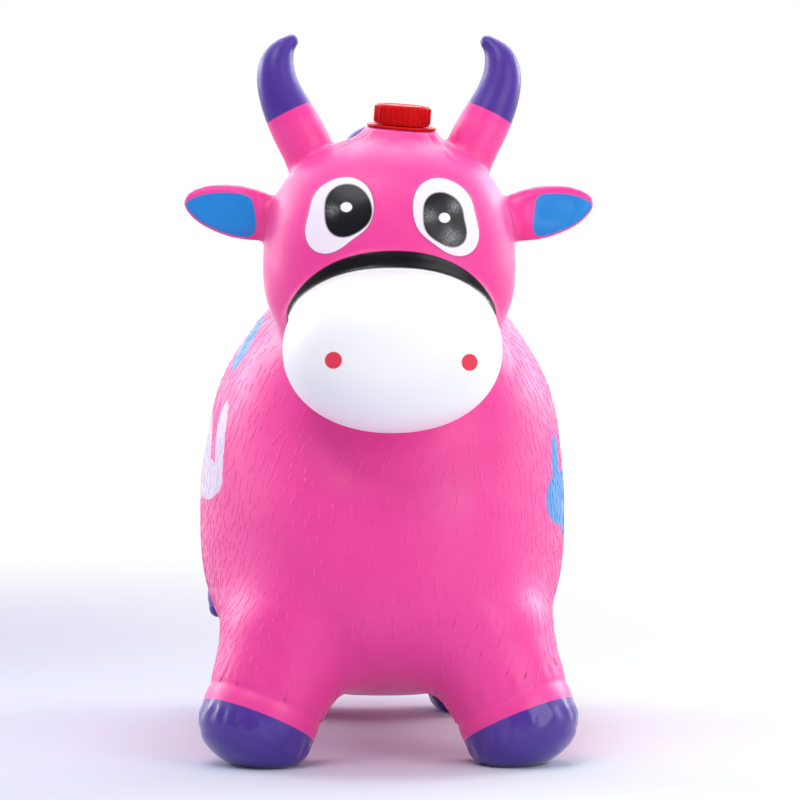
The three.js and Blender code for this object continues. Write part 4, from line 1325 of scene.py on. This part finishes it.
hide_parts("screw_cap")
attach(capRibs, "cap")
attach(cupPiece, "skin")
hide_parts("unit_cup")
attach(plugPiece, "plug")
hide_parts("air_plug")


# Floor, light and camera

def floorMaterial():
    # pale floor with painted shade, darker lavender on the left, that runs out to plain white at the back and
    # on the right
    material, tree, shader = newMaterial("paleFloor")
    place = objectPlace(tree)
    away, across = lengthOf(tree, place), splitPlace(tree, place)["X"]
    cloud = ramp(tree, noise(tree, place, 40, 2, 0.5), 0, 1, -0.05, 0.05)
    leftShade = maths(tree, "ADD", ramp(tree, across, 0.3, -0.2), cloud)
    fillSockets(tree, shader, {
        "Base Color": mixColours(tree, leftShade, studio["floorRight"], studio["floorLeftShade"]),
        "Roughness": 0.6, "Specular IOR Level": 0.0,
    })
    # painted shade: the floor's glow turns lavender towards the left and near the object
    shade = maths(tree, "MULTIPLY", ramp(tree, across, 0.4, -0.6), ramp(tree, away, 2.4, 0.8))
    white = addNode(tree, "ShaderNodeEmission")
    plugIn(tree, white.inputs["Color"], mixColours(tree, shade, (1, 1, 1, 1), studio["floorGlowShade"]))
    shaders = {0: ramp(tree, away, 0.15, 0.9), 1: shader.outputs[0], 2: white.outputs[0]}
    mix = addNode(tree, "ShaderNodeMixShader", shaders)
    tree.links.new(mix.outputs[0], tree.nodes["Material Output"].inputs["Surface"])
    return material


studio = {
    "lamps": (
        ("keyLamp", (-0.6, -1.5, 2.1), 1.4, 23), ("fillLamp", (1.2, -1.6, 0.8), 1.4, 14),
        ("topLamp", (0.1, 0.4, 2.2), 1.4, 14), ("leftRimLamp", (-1.5, 0.6, 0.9), 1.0, 14),
        ("rightRimLamp", (1.5, 0.6, 0.9), 1.0, 14),
    ),
    "aim": (0, -0.02, 0.24), "floorHalf": 6.0,
    # floor colours: the lavender on the left is painted shade
    "floorRight": (0.76, 0.83, 0.88, 1), "floorLeftShade": (0.65, 0.69, 0.82, 1),
    "floorGlowShade": (0.74, 0.71, 0.90, 1),
    # the white surround, as light and as seen in gloss, with its shares in front and low down
    "worldLight": 0.5, "frontLight": 0.45, "mirrorLight": 3.7, "frontMirror": 0.12, "lowMirror": 0.4,
}
half = studio["floorHalf"]
corners = [(-half, -half, 0), (half, -half, 0), (half, half, 0), (-half, half, 0)]
floor = makeObject("floor", corners, [(0, 1, 2, 3)])
giveMaterial(floor, floorMaterial())

for name, place, size, power in studio["lamps"]:
    lamp = bpy.data.lights.new(name, "AREA")
    lamp.shape, lamp.size, lamp.energy = "DISK", size, power
    lampObject = linkObject(name, lamp)
    lampObject.location = place
    lampObject.rotation_mode = "QUATERNION"
    lampObject.rotation_quaternion = (Vector(studio["aim"]) - Vector(place)).to_track_quat("-Z", "Y")

world = bpy.data.worlds.new("studio")
bpy.context.scene.world = world
world.use_nodes = True
tree = world.node_tree
back = tree.nodes["Background"]
back.inputs["Color"].default_value = (1, 1, 1, 1)
path = addNode(tree, "ShaderNodeLightPath").outputs
seen = maths(tree, "MAXIMUM", path["Is Camera Ray"], path["Is Transmission Ray"])
glossy = path["Is Glossy Ray"]
# the white surround is brighter behind the object than on the camera's side
way = splitPlace(tree, addNode(tree, "ShaderNodeTexCoord").outputs["Generated"])
light, glow = studio["worldLight"], studio["mirrorLight"]
around = ramp(tree, way["Y"], -0.8, 0.3, studio["frontLight"] * light, light)
gleam = ramp(tree, way["Y"], -0.8, 0.6, studio["frontMirror"] * glow, glow)
gleam = maths(tree, "MULTIPLY", gleam, ramp(tree, way["Z"], 0.0, 0.5, studio["lowMirror"], 1.0))
lit = maths(tree, "ADD", maths(tree, "MULTIPLY", gleam, glossy),
            maths(tree, "MULTIPLY", around, maths(tree, "SUBTRACT", 1.0, glossy)))
unseen = maths(tree, "MULTIPLY", lit, maths(tree, "SUBTRACT", 1.0, seen))
tree.links.new(maths(tree, "ADD", unseen, seen), back.inputs["Strength"])

camera = {"height": 0.25, "distance": 2.0, "azimuth": 2.2, "lens": 120.9, "sensor": 36, "shiftX": 0.025}
cameraData = bpy.data.cameras.new("camera")
cameraData.lens, cameraData.sensor_width = camera["lens"], camera["sensor"]
cameraData.shift_x = camera["shiftX"]
cameraObject = linkObject("camera", cameraData)
turn = math.radians(camera["azimuth"])
cameraObject.location = (-camera["distance"] * math.sin(turn), -camera["distance"] * math.cos(turn),
                         camera["height"])
cameraObject.rotation_euler = (math.pi / 2, 0, -turn)
bpy.context.scene.camera = cameraObject
bpy.context.scene.view_settings.view_transform = "Standard"
print("studio set")
